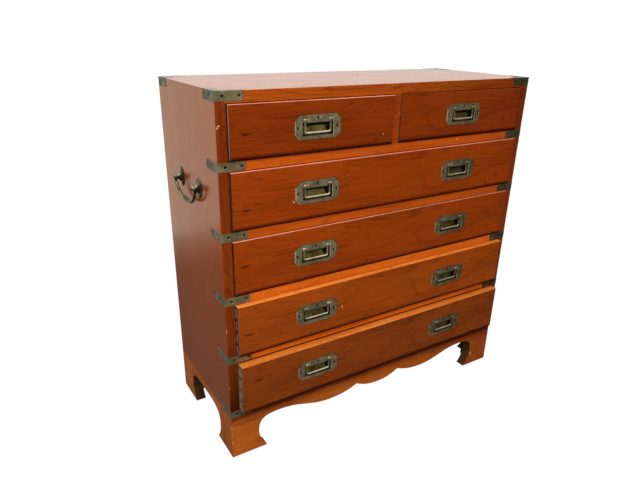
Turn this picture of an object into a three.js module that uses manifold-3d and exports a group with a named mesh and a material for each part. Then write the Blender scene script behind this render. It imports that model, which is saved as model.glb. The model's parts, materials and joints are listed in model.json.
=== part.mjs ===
// A campaign chest: a low chest with two short drawers over four long ones, brass-bound
// corners, flush pulls, lifting handles on the sides and a shaped bracket base.
// Units are millimetres. +X is to the viewer's right, the front faces -Y and +Z is up.

import * as THREE from 'three';
import * as BufferGeometryUtils from 'three/addons/utils/BufferGeometryUtils.js';
import Module from 'manifold-3d';

const wasm = await Module();
wasm.setup();

// Carcase
const carcaseWidth = 914;
const carcaseDepth = 362;
const sideThickness = 23;
const topThickness = 24;
const partitionThickness = 20; // upright board between the two short drawers
const rowHeights = [ 117, 133, 135, 135.5, 137.5 ]; // drawer openings, top row first
const railHeight = 20;

// Frames that the drawers run on
const railDepth = 62; // front rail, front to back
const rearRailDepth = 40;
const runnerWidth = 46;
const muntinWidth = 74; // middle runner under the short drawers
const dustPanelThickness = 7;
const housingDepth = 6; // how far a frame is let into each side
const stopLength = 36;
const stopDepth = 12;
const stopHeight = 5;
const stopInset = 150; // from the end of an opening to the middle of its stop

// Back
const backThickness = 12;
const backRebate = 10; // how far the back is let into each side
const backBoards = 7;
const veeWidth = 4;
const veeDepth = 2.5;

// Bracket base, sizes along the front first and then along the side
const baseHeight = 122;
const baseThickness = 28;
const lobeHeight = 70; // underside of the apron at its middle
const cuspPlace = 74; // from the middle of the front
const cuspHeight = 88.5;
const dipPlace = 162;
const dipHeight = 71;
const shoulderPlace = 322;
const shoulderHeight = 98.5;
const waistWidth = 76; // narrowest width of a front foot
const waistHeight = 54;
const footWidth = 98; // at the floor
const sideShoulderInset = 150; // from the front edge to the top of the side arch
const sideArchHeight = 96.5;
const sideWaistWidth = 77;
const sideWaistHeight = 50;
const sideFootWidth = 97;
const rearBracketReach = 150; // along the back, at the top
const blockSize = 32; // glue block behind each foot
const blockLift = 4; // a block stops short of the floor
const ledgerSize = 18;

// Brass corner straps
const strapLeg = 62;
const strapThickness = 2.5;
const strapStand = 0.3; // how far the brass stands proud of the wood
const strapChamfer = 2.5;
const flangeLeg = 14; // width of the top flange at each end
const flangeHollowCentre = 66; // centre of its hollow edge, in from both faces

// Drawers
const frontThickness = 22;
const drawerSideThickness = 10;
const drawerBackThickness = 10;
const drawerBottomThickness = 6;
const drawerRearGap = 12; // from the box of a closed drawer to the back
const bottomRise = 9; // underside of the drawer bottom above the drawer's lower edge
const grooveDepth = 6;
const sideDrop = 3; // drawer sides are this much lower than the front
const backDrop = 12;
const tailLength = 15;
const tailCount = 4;
const tailRootShare = 0.56; // of one tail's pitch
const tailTipShare = 0.76;

// Flush pulls
const plateWidth = 117;
const plateHeight = 54;
const plateCorner = 12;
const plateThickness = 2.4;
const plateStand = 0.8;
const cupWidth = 78;
const cupBelow = 17.7; // cup's lower edge below the plate's middle
const cupAbove = 8.9; // and its upper edge above it
const cupDepth = 13.5;
const cupWall = 1.6;
const notchWidth = 12.5; // each notch takes one knuckle of the bail
const notchHeight = 11.5;
const knuckleRadius = 5.2;
const knuckleStand = 2; // how far a knuckle stands proud of the plate
const knuckleRounding = 1.8; // at the ends of a knuckle
const hingePinRadius = 1.3;
const bailBar = 4.4; // width of the arms and of the bar
const bailBevel = 1;
const bailCornerRadius = 3.5;
const bailRise = 3.4; // the bar's lower edge above the cup's lower edge
const longPullSpread = 220; // middle of the front to the middle of a pull

// Lifting handles on the sides
const handleHeight = 684; // hinge line above the floor
const handleSpread = 59; // middle of the handle to a post
const handleSetBack = 177; // front of the carcase to the middle of the handle
const rosetteHeight = 48;
const rosetteWidth = 37;
const rosetteEdge = 1.6;
const rosetteDome = 4.5;
const postRadius = 4.6;
const postReach = 14.5; // side of the carcase to the hinge line
const eyeRadius = 6.4;
const eyePinRadius = 2.2;
const bailDrop = 41;
const bailGripRadius = 4.6;
const bailNeckRadius = 2.9;
const bailGripStand = 12; // side of the carcase to the middle of the grip

// How far each drawer stands open, as the chest is used
const topLeftOpen = 5;
const topRightOpen = 0.5;
const secondOpen = 5;
const thirdOpen = 3;
const fourthOpen = 13;
const bottomOpen = 24;

// Clearances
const jointGap = 0.3; // between pieces that are let into one another
const drawerSideGap = 1.6;
const drawerTopGap = 1.8;
const runningGap = 0.6; // under a drawer
const hingeGap = 0.3;
const knuckleGap = 0.4;
const overrun = 2; // how far a cut runs past the face it starts from

const tubeSides = 10;
const roundSides = 16;
const knuckleSides = 12;
const bailCornerSteps = 2;

// Worked out from the sizes above
const halfWidth = carcaseWidth / 2;
const innerHalf = halfWidth - sideThickness;
const front = - carcaseDepth / 2;
const rear = carcaseDepth / 2;
const backFace = rear - backThickness; // the inner face of the back
const drawerLength = backFace - drawerRearGap - front; // front face to the back of the box
const rowCount = rowHeights.length;
const carcaseHeight = baseHeight + topThickness + railHeight * rowCount
	+ rowHeights.reduce( ( sum, height ) => sum + height, 0 );

// rowFloor( 0 ) is the rail under the top row, seen from above
function rowFloor( row ) {

	let level = carcaseHeight - topThickness;
	for ( let above = 0; above <= row; above ++ ) level -= rowHeights[ above ];
	for ( let above = 0; above < row; above ++ ) level -= railHeight;
	return level;

}

// Solids and meshes

const frontPlane = new THREE.Matrix4().makeBasis(
	new THREE.Vector3( 1, 0, 0 ), new THREE.Vector3( 0, 0, 1 ), new THREE.Vector3( 0, - 1, 0 ) );
const sidePlane = new THREE.Matrix4().makeBasis(
	new THREE.Vector3( 0, 1, 0 ), new THREE.Vector3( 0, 0, 1 ), new THREE.Vector3( 1, 0, 0 ) );

function toSolid( geometry ) {

	const bare = geometry.clone();
	bare.deleteAttribute( 'normal' );
	bare.deleteAttribute( 'uv' );
	const welded = BufferGeometryUtils.mergeVertices( bare );
	return new wasm.Manifold( new wasm.Mesh( {
		numProp: 3,
		vertProperties: new Float32Array( welded.attributes.position.array ),
		triVerts: new Uint32Array( welded.index.array )
	} ) );

}

function toGeometry( solid ) {

	const shape = solid.getMesh();
	const geometry = new THREE.BufferGeometry();
	geometry.setAttribute( 'position', new THREE.BufferAttribute( shape.vertProperties, 3 ) );
	geometry.setIndex( new THREE.BufferAttribute( shape.triVerts, 1 ) );
	geometry.computeVertexNormals();
	return geometry;

}

function united( solids ) {

	return solids.reduce( ( whole, solid ) => whole.add( solid ) );

}

function cut( solid, tools ) {

	return tools.reduce( ( left, tool ) => left.subtract( tool ), solid );

}

function block( xLow, xHigh, yLow, yHigh, zLow, zHigh ) {

	const geometry = new THREE.BoxGeometry( xHigh - xLow, yHigh - yLow, zHigh - zLow );
	geometry.translate( ( xLow + xHigh ) / 2, ( yLow + yHigh ) / 2, ( zLow + zHigh ) / 2 );
	return toSolid( geometry );

}

function board( outline, thickness, bevel = 0 ) {

	const shape = new THREE.Shape( outline );
	return new THREE.ExtrudeGeometry( shape, {
		depth: thickness - 2 * bevel,
		bevelEnabled: bevel > 0,
		bevelSegments: 1,
		bevelSize: bevel,
		bevelOffset: - bevel,
		bevelThickness: bevel
	} ).translate( 0, 0, bevel );

}

// A board whose outline is drawn on the front, filling yFront to yFront + thickness
function frontBoard( outline, yFront, thickness, bevel = 0 ) {

	const geometry = board( outline, thickness, bevel );
	geometry.applyMatrix4( frontPlane );
	geometry.translate( 0, yFront + thickness, 0 );
	return toSolid( geometry );

}

// A board whose outline is drawn on the side, filling xLow to xLow + thickness
function sideBoard( outline, xLow, thickness ) {

	const geometry = board( outline, thickness );
	geometry.applyMatrix4( sidePlane );
	geometry.translate( xLow, 0, 0 );
	return toSolid( geometry );

}

function flatBoard( outline, zLow, thickness ) {

	return toSolid( board( outline, thickness ).translate( 0, 0, zLow ) );

}

function point( x, y ) {

	return new THREE.Vector2( x, y );

}

function rodAlongX( radius, xLow, xHigh, y, z, sides ) {

	const geometry = new THREE.CylinderGeometry( radius, radius, xHigh - xLow, sides );
	geometry.rotateZ( Math.PI / 2 );
	geometry.translate( ( xLow + xHigh ) / 2, y, z );
	return toSolid( geometry );

}

function rodAlongY( radius, x, yLow, yHigh, z, sides ) {

	const geometry = new THREE.CylinderGeometry( radius, radius, yHigh - yLow, sides );
	geometry.translate( x, ( yLow + yHigh ) / 2, z );
	return toSolid( geometry );

}

// Finishes

const finishes = {
	frontWood: { color: 0x8a3d12, roughness: 0.38, metalness: 0 },
	railWood: { color: 0xb9601d, roughness: 0.4, metalness: 0 },
	sideWood: { color: 0x74412a, roughness: 0.3, metalness: 0 },
	topWood: { color: 0x8d5236, roughness: 0.25, metalness: 0 },
	baseWood: { color: 0xa85a1c, roughness: 0.45, metalness: 0 },
	boxWood: { color: 0xa9835a, roughness: 0.7, metalness: 0 },
	backWood: { color: 0x6d4d33, roughness: 0.75, metalness: 0 },
	agedBrass: { color: 0x7b7560, roughness: 0.45, metalness: 0.8 }
};

const chest = new THREE.Group();

function place( name, solid, finish, parent = chest ) {

	const mesh = new THREE.Mesh( toGeometry( solid ), new THREE.MeshStandardMaterial( finishes[ finish ] ) );
	mesh.name = name;
	parent.add( mesh );
	return mesh;

}

// Brass corner straps. With a clearance, the same shape is the seat that is cut for the strap.

function strapShape( side, zLow, topFlange, clearance = 0 ) {

	const outward = clearance > 0 ? overrun : strapStand;
	const outer = halfWidth + outward;
	const inner = halfWidth - strapLeg - clearance;
	const low = zLow - clearance;
	const high = zLow + railHeight + clearance;
	const top = topFlange ? carcaseHeight + outward : high;
	const depth = strapThickness - strapStand + clearance + outward;
	const faceFront = front - outward;
	const sideEnd = front + strapLeg + clearance;
	const frontLeg = [
		point( side * outer, low ), point( side * outer, top ),
		point( side * inner, top ), point( side * inner, low + strapChamfer ),
		point( side * ( inner + strapChamfer ), low )
	];
	const sideLeg = [
		point( faceFront, low ), point( sideEnd - strapChamfer, low ),
		point( sideEnd, low + strapChamfer ), point( sideEnd, top ), point( faceFront, top )
	];
	if ( ! topFlange ) {

		frontLeg.splice( 2, 1,
			point( side * ( inner + strapChamfer ), high ), point( side * inner, high - strapChamfer ) );
		sideLeg.splice( 3, 1,
			point( sideEnd, high - strapChamfer ), point( sideEnd - strapChamfer, high ) );

	}

	const legs = [
		frontBoard( frontLeg, faceFront, depth ),
		sideBoard( sideLeg, side > 0 ? outer - depth : - outer, depth )
	];
	if ( ! topFlange ) return united( legs );

	const edge = flangeLeg + clearance;
	const end = strapLeg + clearance;
	const hollowRadius = Math.hypot( flangeHollowCentre - edge, flangeHollowCentre - end );
	const firstAngle = Math.atan2( edge - flangeHollowCentre, end - flangeHollowCentre );
	const lastAngle = - 3 * Math.PI / 2 - firstAngle;
	const flange = [
		point( side * outer, sideEnd ), point( side * outer, faceFront ), point( side * inner, faceFront )
	];
	for ( let step = 0; step <= roundSides / 2; step ++ ) {

		const angle = THREE.MathUtils.lerp( firstAngle, lastAngle, step * 2 / roundSides );
		const across = flangeHollowCentre + hollowRadius * Math.cos( angle );
		const back = flangeHollowCentre + hollowRadius * Math.sin( angle );
		flange.push( point( side * ( halfWidth - across ), front + back ) );

	}

	return united( [ ...legs, flatBoard( flange, carcaseHeight + outward - depth, depth ) ] );

}

// Level 1 binds the top corners, and the others each cover the ends of a rail
const strapLevels = [ carcaseHeight - railHeight - strapStand ];
for ( let row = 0; row < rowCount; row ++ ) strapLevels.push( rowFloor( row ) - railHeight );

const strapSeats = [];
for ( const [ sideName, side ] of [ [ 'left', - 1 ], [ 'right', 1 ] ] ) {

	strapLevels.forEach( ( level, index ) => {

		const topFlange = index === 0;
		place( `corner_strap_${ sideName }_${ index + 1 }`, strapShape( side, level, topFlange ), 'agedBrass' );
		strapSeats.push( strapShape( side, level, topFlange, jointGap ) );

	} );

}

// Top board, mitred over the sides

const topOutline = [
	point( - halfWidth, carcaseHeight ), point( - innerHalf, carcaseHeight - topThickness ),
	point( innerHalf, carcaseHeight - topThickness ), point( halfWidth, carcaseHeight )
];
place( 'top_board', cut( frontBoard( topOutline, front, carcaseDepth ), strapSeats ), 'topWood' );

// Sides, housed for every frame and rebated for the back

function sidePanel( side ) {

	const outline = [
		point( side * halfWidth, baseHeight ), point( side * halfWidth, carcaseHeight - jointGap ),
		point( side * innerHalf, carcaseHeight - topThickness - jointGap ), point( side * innerHalf, baseHeight )
	];
	const cuts = [ ...strapSeats ];
	const housingFloor = innerHalf + housingDepth + jointGap;
	const housingMouth = innerHalf - overrun;
	const xRange = side > 0 ? [ housingMouth, housingFloor ] : [ - housingFloor, - housingMouth ];
	for ( let row = 0; row < rowCount; row ++ ) {

		const lowest = row === rowCount - 1 ? overrun : jointGap;
		const railTop = rowFloor( row );
		cuts.push( block( ...xRange, front - overrun, backFace + jointGap,
			railTop - railHeight - lowest, railTop + jointGap ) );

	}

	const rebateFloor = innerHalf + backRebate + jointGap;
	const rebate = side > 0 ? [ housingMouth, rebateFloor ] : [ - rebateFloor, - housingMouth ];
	cuts.push( block( ...rebate, backFace - jointGap, rear + overrun,
		baseHeight - overrun, carcaseHeight - topThickness + jointGap ) );
	return cut( frontBoard( outline, front, carcaseDepth ), cuts );

}

place( 'side_left', sidePanel( - 1 ), 'sideWood' );
place( 'side_right', sidePanel( 1 ), 'sideWood' );

// Back of upright boards with a vee between them

const backHalf = innerHalf + backRebate;
const backOutline = [ point( - backHalf, backFace ), point( backHalf, backFace ), point( backHalf, rear ) ];
for ( let joint = backBoards - 1; joint > 0; joint -- ) {

	const x = backHalf * ( 2 * joint / backBoards - 1 );
	backOutline.push( point( x + veeWidth / 2, rear ), point( x, rear - veeDepth ) );
	backOutline.push( point( x - veeWidth / 2, rear ) );

}

backOutline.push( point( - backHalf, rear ) );
const backHeight = carcaseHeight - topThickness - baseHeight;
place( 'back_panel', flatBoard( backOutline, baseHeight, backHeight ), 'backWood' );

// Frames: front rail, runners, rear rail and a dust panel, with stops glued on the rail

const frameHalf = innerHalf + housingDepth;

function drawerFrame( railTop, columns ) {

	const low = railTop - railHeight;
	const recess = ( railHeight - dustPanelThickness ) / 2;
	const pieces = [ block( - frameHalf, frameHalf, front, backFace - jointGap, low, railTop ) ];
	const cuts = [ ...strapSeats ];
	const yRange = [ front + railDepth, backFace - rearRailDepth ];
	for ( const [ xLow, xHigh ] of columns ) {

		const leftRunner = xLow > - innerHalf ? muntinWidth / 2 - partitionThickness / 2 : runnerWidth;
		const rightRunner = xHigh < innerHalf ? muntinWidth / 2 - partitionThickness / 2 : runnerWidth;
		const xRange = [ xLow + leftRunner, xHigh - rightRunner ];
		cuts.push( block( ...xRange, ...yRange, railTop - recess, railTop + overrun ) );
		cuts.push( block( ...xRange, ...yRange, low - overrun, low + recess ) );
		const stopY = front + frontThickness + jointGap;
		const stopMiddles = columns.length > 1
			? [ ( xLow + xHigh ) / 2 ]
			: [ xLow + stopInset, xHigh - stopInset ];
		for ( const x of stopMiddles ) {

			pieces.push( block( x - stopLength / 2, x + stopLength / 2, stopY, stopY + stopDepth,
				railTop - overrun, railTop + stopHeight ) );

		}

	}

	return cut( united( pieces ), cuts );

}

const wholeRow = [ [ - innerHalf, innerHalf ] ];
const splitRow = [ [ - innerHalf, - partitionThickness / 2 ], [ partitionThickness / 2, innerHalf ] ];
for ( let row = 0; row < rowCount; row ++ ) {

	const columns = row === 0 ? splitRow : wholeRow;
	const name = row === rowCount - 1 ? 'bottom_frame' : `drawer_frame_${ row + 1 }`;
	let frame = drawerFrame( rowFloor( row ), columns );
	if ( row === 0 ) {

		// The upright board between the short drawers is tenoned into the first frame
		frame = frame.add( block( - partitionThickness / 2, partitionThickness / 2, front, backFace - jointGap,
			rowFloor( row ) - overrun, carcaseHeight - topThickness ) );

	}

	place( name, frame, 'railWood' );

}

// Bracket base: a shaped apron, arched sides, rear brackets, glue blocks and a ledger

const curveSteps = 7;
const archEaseShare = 0.78; // how full the arch is at its shoulder
const waistEaseShare = 0.76;
const tipEaseShare = 0.4;
const swellEaseShare = 0.42;
const lobeEaseShare = 0.55;
const cuspEaseShare = 0.22;
const cuspRiseShare = 0.4;

function curve( start, startControl, endControl, end ) {

	return new THREE.CubicBezierCurve( start, startControl, endControl, end ).getPoints( curveSteps );

}

// From the top of an arch, down the inner edge of a foot, to its tip at the floor
function footEdge( shoulder, waist, tip ) {

	const out = waist.x - shoulder.x;
	const fall = shoulder.y - waist.y;
	return [
		...curve( shoulder, point( shoulder.x + out * archEaseShare, shoulder.y ),
			point( waist.x, waist.y + fall * waistEaseShare ), waist ),
		...curve( waist, point( waist.x, waist.y - waist.y * tipEaseShare ),
			point( tip.x + ( waist.x - tip.x ) * tipEaseShare, waist.y * tipEaseShare / 2 ), tip ).slice( 1 )
	];

}

function mirrored( half ) {

	return half.map( ( spot ) => point( - spot.x, spot.y ) ).reverse();

}

const lobe = point( 0, lobeHeight );
const cusp = point( cuspPlace, cuspHeight );
const dip = point( dipPlace, dipHeight );
const shoulder = point( shoulderPlace, shoulderHeight );
const lobeRise = cuspHeight - lobeHeight;
const dipFall = cuspHeight - dipHeight;
const dipReach = dipPlace - cuspPlace;
const swell = ( shoulderPlace - dipPlace ) * swellEaseShare;
const apronHalf = [
	...curve( lobe, point( cuspPlace * lobeEaseShare, lobeHeight ),
		point( cuspPlace * ( 1 - cuspEaseShare ), cuspHeight - lobeRise * cuspRiseShare ), cusp ),
	...curve( cusp, point( cuspPlace + dipReach * cuspEaseShare, cuspHeight - dipFall * cuspRiseShare ),
		point( dipPlace - dipReach * lobeEaseShare, dipHeight ), dip ).slice( 1 ),
	...curve( dip, point( dipPlace + swell, dipHeight ),
		point( shoulderPlace - swell, shoulderHeight ), shoulder ).slice( 1 ),
	...footEdge( shoulder, point( halfWidth - waistWidth, waistHeight ),
		point( halfWidth - footWidth, 0 ) ).slice( 1 )
];
const apronOutline = [
	...mirrored( apronHalf ).slice( 0, - 1 ), ...apronHalf,
	point( halfWidth, 0 ), point( halfWidth, baseHeight ),
	point( - halfWidth, baseHeight ), point( - halfWidth, 0 )
];

const halfDepth = carcaseDepth / 2;
const archHalf = footEdge(
	point( halfDepth - sideShoulderInset, sideArchHeight ),
	point( halfDepth - sideWaistWidth, sideWaistHeight ),
	point( halfDepth - sideFootWidth, 0 )
);
const archOutline = [
	...mirrored( archHalf ), ...archHalf,
	point( halfDepth, 0 ), point( halfDepth, baseHeight ),
	point( - halfDepth, baseHeight ), point( - halfDepth, 0 )
];

const basePieces = [
	frontBoard( apronOutline, front, baseThickness ),
	sideBoard( archOutline, - halfWidth, baseThickness ),
	sideBoard( archOutline, halfWidth - baseThickness, baseThickness )
];
const baseInner = halfWidth - baseThickness;
const ledgerLow = baseHeight - ledgerSize;
basePieces.push( block( - baseInner - jointGap, baseInner + jointGap,
	front + baseThickness - jointGap, front + baseThickness + ledgerSize, ledgerLow, baseHeight ) );
for ( const side of [ - 1, 1 ] ) {

	const bracket = [
		point( side * halfWidth, 0 ), point( side * ( halfWidth - footWidth ), 0 ),
		point( side * ( halfWidth - rearBracketReach ), baseHeight ), point( side * halfWidth, baseHeight )
	];
	basePieces.push( frontBoard( bracket, rear - baseThickness, baseThickness ) );
	const xInner = side * ( baseInner + jointGap );
	const ledgerInner = side * ( baseInner - ledgerSize );
	basePieces.push( block( Math.min( xInner, ledgerInner ), Math.max( xInner, ledgerInner ),
		front + baseThickness, rear - baseThickness, ledgerLow, baseHeight ) );
	const blockInner = side * ( baseInner - blockSize );
	const xRange = [ Math.min( xInner, blockInner ), Math.max( xInner, blockInner ) ];
	basePieces.push( block( ...xRange, front + baseThickness - jointGap,
		front + baseThickness + blockSize, blockLift, baseHeight ) );
	basePieces.push( block( ...xRange, rear - baseThickness - blockSize,
		rear - baseThickness + jointGap, blockLift, baseHeight ) );

}

place( 'bracket_base', united( basePieces ), 'baseWood' );

// Flush pull: a plate with a cup behind it, and a bail with a knuckle in each notch

const notchOuter = cupWidth / 2;
const notchInner = notchOuter - notchWidth;
const knuckleMiddle = ( notchOuter + notchInner ) / 2;
const knuckleHeight = cupAbove + notchHeight / 2; // hinge line above the plate's middle
const plateBack = plateThickness - plateStand; // behind the face of the drawer
const hingeBack = knuckleRadius - knuckleStand - plateStand; // hinge line behind the drawer's face

function plateOutline( x, z, margin ) {

	const halfPlate = plateWidth / 2 + margin;
	const halfTall = plateHeight / 2 + margin;
	return [
		point( x - halfPlate, z - halfTall + plateCorner ), point( x - halfPlate + plateCorner, z - halfTall ),
		point( x + halfPlate - plateCorner, z - halfTall ), point( x + halfPlate, z - halfTall + plateCorner ),
		point( x + halfPlate, z + halfTall - plateCorner ), point( x + halfPlate - plateCorner, z + halfTall ),
		point( x - halfPlate + plateCorner, z + halfTall ), point( x - halfPlate, z + halfTall - plateCorner )
	];

}

function cupOutline( x, z, margin ) {

	const half = cupWidth / 2 + margin;
	const shoulderX = notchInner - margin;
	const low = z - cupBelow - margin;
	const high = z + cupAbove + margin;
	const notchTop = z + cupAbove + notchHeight + margin;
	return [
		point( x - half, low ), point( x + half, low ), point( x + half, notchTop ),
		point( x + shoulderX, notchTop ), point( x + shoulderX, high ), point( x - shoulderX, high ),
		point( x - shoulderX, notchTop ), point( x - half, notchTop )
	];

}

// The seat cut in a drawer front for one plate and its cup
function pullSeat( x, z, face ) {

	const cupSeat = cupDepth + cupWall + jointGap;
	return united( [
		frontBoard( plateOutline( x, z, jointGap ), face - overrun, overrun + plateBack + jointGap ),
		frontBoard( cupOutline( x, z, cupWall + jointGap ), face - overrun, overrun + cupSeat )
	] );

}

function pullPlate( x, z, face ) {

	const outside = united( [
		frontBoard( plateOutline( x, z, 0 ), face - plateStand, plateThickness ),
		frontBoard( cupOutline( x, z, cupWall ), face, cupDepth + cupWall )
	] );
	const hinge = face + hingeBack;
	const pinHole = hingePinRadius + hingeGap;
	const holeStart = notchOuter - overrun;
	const holeEnd = notchOuter + cupWall + overrun;
	return cut( outside, [
		frontBoard( cupOutline( x, z, 0 ), face - plateStand - overrun, cupDepth + plateStand + overrun ),
		rodAlongX( pinHole, x - holeEnd, x - holeStart, hinge, z + knuckleHeight, knuckleSides / 2 ),
		rodAlongX( pinHole, x + holeStart, x + holeEnd, hinge, z + knuckleHeight, knuckleSides / 2 )
	] );

}

function pullBail( x, z, face ) {

	const plateFace = face - plateStand;
	const hinge = face + hingeBack;
	const barLow = z - cupBelow + bailRise;
	const armOut = knuckleMiddle + bailBar / 2;
	const armIn = knuckleMiddle - bailBar / 2;
	const armTop = z + knuckleHeight;
	const outline = new THREE.Shape();
	outline.moveTo( x - armOut, armTop );
	outline.lineTo( x - armOut, barLow + bailCornerRadius );
	outline.quadraticCurveTo( x - armOut, barLow, x - armOut + bailCornerRadius, barLow );
	outline.lineTo( x + armOut - bailCornerRadius, barLow );
	outline.quadraticCurveTo( x + armOut, barLow, x + armOut, barLow + bailCornerRadius );
	outline.lineTo( x + armOut, armTop );
	outline.lineTo( x + armIn, armTop );
	outline.lineTo( x + armIn, barLow + bailBar );
	outline.lineTo( x - armIn, barLow + bailBar );
	outline.lineTo( x - armIn, armTop );
	const pieces = [ frontBoard( outline.getPoints( bailCornerSteps ), plateFace, bailBar, bailBevel ) ];
	const knuckleHalf = notchWidth / 2 - knuckleGap;
	const barrelProfile = [
		point( 0, - knuckleHalf ), point( knuckleRadius - knuckleRounding, - knuckleHalf ),
		point( knuckleRadius, knuckleRounding - knuckleHalf ), point( knuckleRadius, knuckleHalf - knuckleRounding ),
		point( knuckleRadius - knuckleRounding, knuckleHalf ), point( 0, knuckleHalf )
	];
	for ( const side of [ - 1, 1 ] ) {

		const middle = x + side * knuckleMiddle;
		const barrel = new THREE.LatheGeometry( barrelProfile, knuckleSides );
		barrel.rotateZ( - Math.PI / 2 );
		pieces.push( toSolid( barrel.translate( middle, hinge, z + knuckleHeight ) ) );
		const pinReach = [ middle, x + side * ( notchOuter + cupWall ) ].sort( ( a, b ) => a - b );
		pieces.push( rodAlongX( hingePinRadius, ...pinReach, hinge, z + knuckleHeight, knuckleSides / 2 ) );

	}

	return united( pieces );

}

// Drawers. Tails on the sides run into blind sockets in the front.

function tailOutline( face, low, high, clearance ) {

	const root = face + frontThickness;
	const tip = root - tailLength - clearance;
	const pitch = ( high - low ) / tailCount;
	return Array.from( { length: tailCount }, ( unused, index ) => {

		const middle = low + ( 2 * index + 1 ) * pitch / 2;
		const rootHalf = pitch * tailRootShare / 2 + clearance;
		const tipHalf = pitch * tailTipShare / 2 + clearance;
		return [
			point( root + overrun, middle - rootHalf ), point( root, middle - rootHalf ),
			point( tip, middle - tipHalf ), point( tip, middle + tipHalf ),
			point( root, middle + rootHalf ), point( root + overrun, middle + rootHalf )
		];

	} );

}

function drawer( name, opening, open, pulls ) {

	const face = front - open;
	const [ xLow, xHigh ] = [ opening.xLow + drawerSideGap, opening.xHigh - drawerSideGap ];
	const [ zLow, zHigh ] = [ opening.zLow + runningGap, opening.zHigh - drawerTopGap ];
	const frontBack = face + frontThickness;
	const boxRear = face + drawerLength;
	const sideTop = zHigh - sideDrop;
	const bottomLow = zLow + bottomRise;
	const bottomHigh = bottomLow + drawerBottomThickness;

	const sockets = [ - 1, 1 ].flatMap( ( side ) => {

		const thickness = drawerSideThickness + jointGap + overrun;
		const xStart = side < 0 ? xLow - overrun : xHigh - drawerSideThickness - jointGap;
		return tailOutline( face, zLow, sideTop, jointGap ).map( ( tail ) => sideBoard( tail, xStart, thickness ) );

	} );
	const groove = block( xLow + drawerSideThickness, xHigh - drawerSideThickness,
		frontBack - grooveDepth - jointGap, frontBack + overrun, bottomLow - jointGap, bottomHigh + jointGap );
	const middle = ( xLow + xHigh ) / 2;
	const pullHeight = ( zLow + zHigh ) / 2;
	const seats = pulls.map( ( pull ) => pullSeat( middle + pull.offset, pullHeight, face ) );
	place( `drawer_front_${ name }`,
		cut( block( xLow, xHigh, face, frontBack, zLow, zHigh ), [ ...sockets, groove, ...seats ] ), 'frontWood' );

	const boxFront = frontBack + jointGap;
	const boxPieces = [];
	for ( const xStart of [ xLow, xHigh - drawerSideThickness ] ) {

		boxPieces.push( block( xStart, xStart + drawerSideThickness, boxFront, boxRear, zLow, sideTop ) );
		tailOutline( face, zLow, sideTop, 0 ).forEach( ( tail ) => {

			boxPieces.push( sideBoard( tail, xStart, drawerSideThickness ) );

		} );

	}

	const innerLow = xLow + drawerSideThickness;
	const innerHigh = xHigh - drawerSideThickness;
	boxPieces.push( block( innerLow - jointGap, innerHigh + jointGap, boxRear - drawerBackThickness, boxRear,
		bottomHigh - jointGap, sideTop - backDrop ) );
	boxPieces.push( block( innerLow + jointGap, innerHigh - jointGap, frontBack - grooveDepth, boxFront + overrun,
		bottomLow, bottomHigh ) );
	boxPieces.push( block( innerLow - jointGap, innerHigh + jointGap, boxFront, boxRear, bottomLow, bottomHigh ) );
	place( `drawer_box_${ name }`, united( boxPieces ), 'boxWood' );

	for ( const pull of pulls ) {

		const x = middle + pull.offset;
		place( `pull_plate_${ pull.name }`, pullPlate( x, pullHeight, face ), 'agedBrass' );
		place( `pull_bail_${ pull.name }`, pullBail( x, pullHeight, face ), 'agedBrass' );

	}

}

function opening( row, columns, column ) {

	const [ xLow, xHigh ] = columns[ column ];
	const zLow = rowFloor( row );
	return { xLow, xHigh, zLow, zHigh: zLow + rowHeights[ row ] };

}

drawer( 'top_left', opening( 0, splitRow, 0 ), topLeftOpen, [ { name: 'top_left', offset: 0 } ] );
drawer( 'top_right', opening( 0, splitRow, 1 ), topRightOpen, [ { name: 'top_right', offset: 0 } ] );
const longDrawers = [
	[ 'second', secondOpen ], [ 'third', thirdOpen ], [ 'fourth', fourthOpen ], [ 'bottom', bottomOpen ]
];
longDrawers.forEach( ( [ name, open ], index ) => {

	drawer( name, opening( index + 1, wholeRow, 0 ), open, [
		{ name: `${ name }_left`, offset: - longPullSpread },
		{ name: `${ name }_right`, offset: longPullSpread }
	] );

} );

// Lifting handles: two turned posts on oval rosettes, with a swan-necked bail between them

const handleMiddle = front + handleSetBack;

function postShape( side, y ) {

	const rosetteRadius = rosetteHeight / 2;
	const rosetteProfile = [
		point( 0, 0 ), point( rosetteRadius, 0 ), point( rosetteRadius, rosetteEdge ),
		point( ( rosetteRadius + postRadius ) / 2, rosetteDome ), point( 0, rosetteDome )
	];
	const rosette = new THREE.LatheGeometry( rosetteProfile, roundSides );
	rosette.rotateZ( - side * Math.PI / 2 );
	rosette.scale( 1, 1, rosetteWidth / rosetteHeight );
	const postFlare = ( postRadius + rosetteRadius / 2 ) / 2;
	const profile = [
		point( 0, 0 ), point( postFlare, 0 ), point( postFlare, rosetteDome ),
		point( postRadius, ( rosetteDome + postReach ) / 2 )
	];
	const eyeSteps = 5;
	for ( let step = 1; step <= eyeSteps; step ++ ) {

		const angle = THREE.MathUtils.lerp( - Math.PI / 3, Math.PI / 2, step / eyeSteps );
		const across = step === eyeSteps ? 0 : eyeRadius * Math.cos( angle );
		profile.push( point( across, postReach + eyeRadius * Math.sin( angle ) ) );

	}

	const post = new THREE.LatheGeometry( profile, roundSides );
	post.rotateZ( - side * Math.PI / 2 );
	const seated = [ rosette, post ].map( ( geometry ) => {

		return toSolid( geometry.translate( side * halfWidth, y, handleHeight ) );

	} );
	const eyeReach = eyeRadius + overrun;
	const pinHole = rodAlongY( eyePinRadius + hingeGap, side * ( halfWidth + postReach ),
		y - eyeReach, y + eyeReach, handleHeight, knuckleSides );
	return united( seated ).subtract( pinHole );

}

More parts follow.
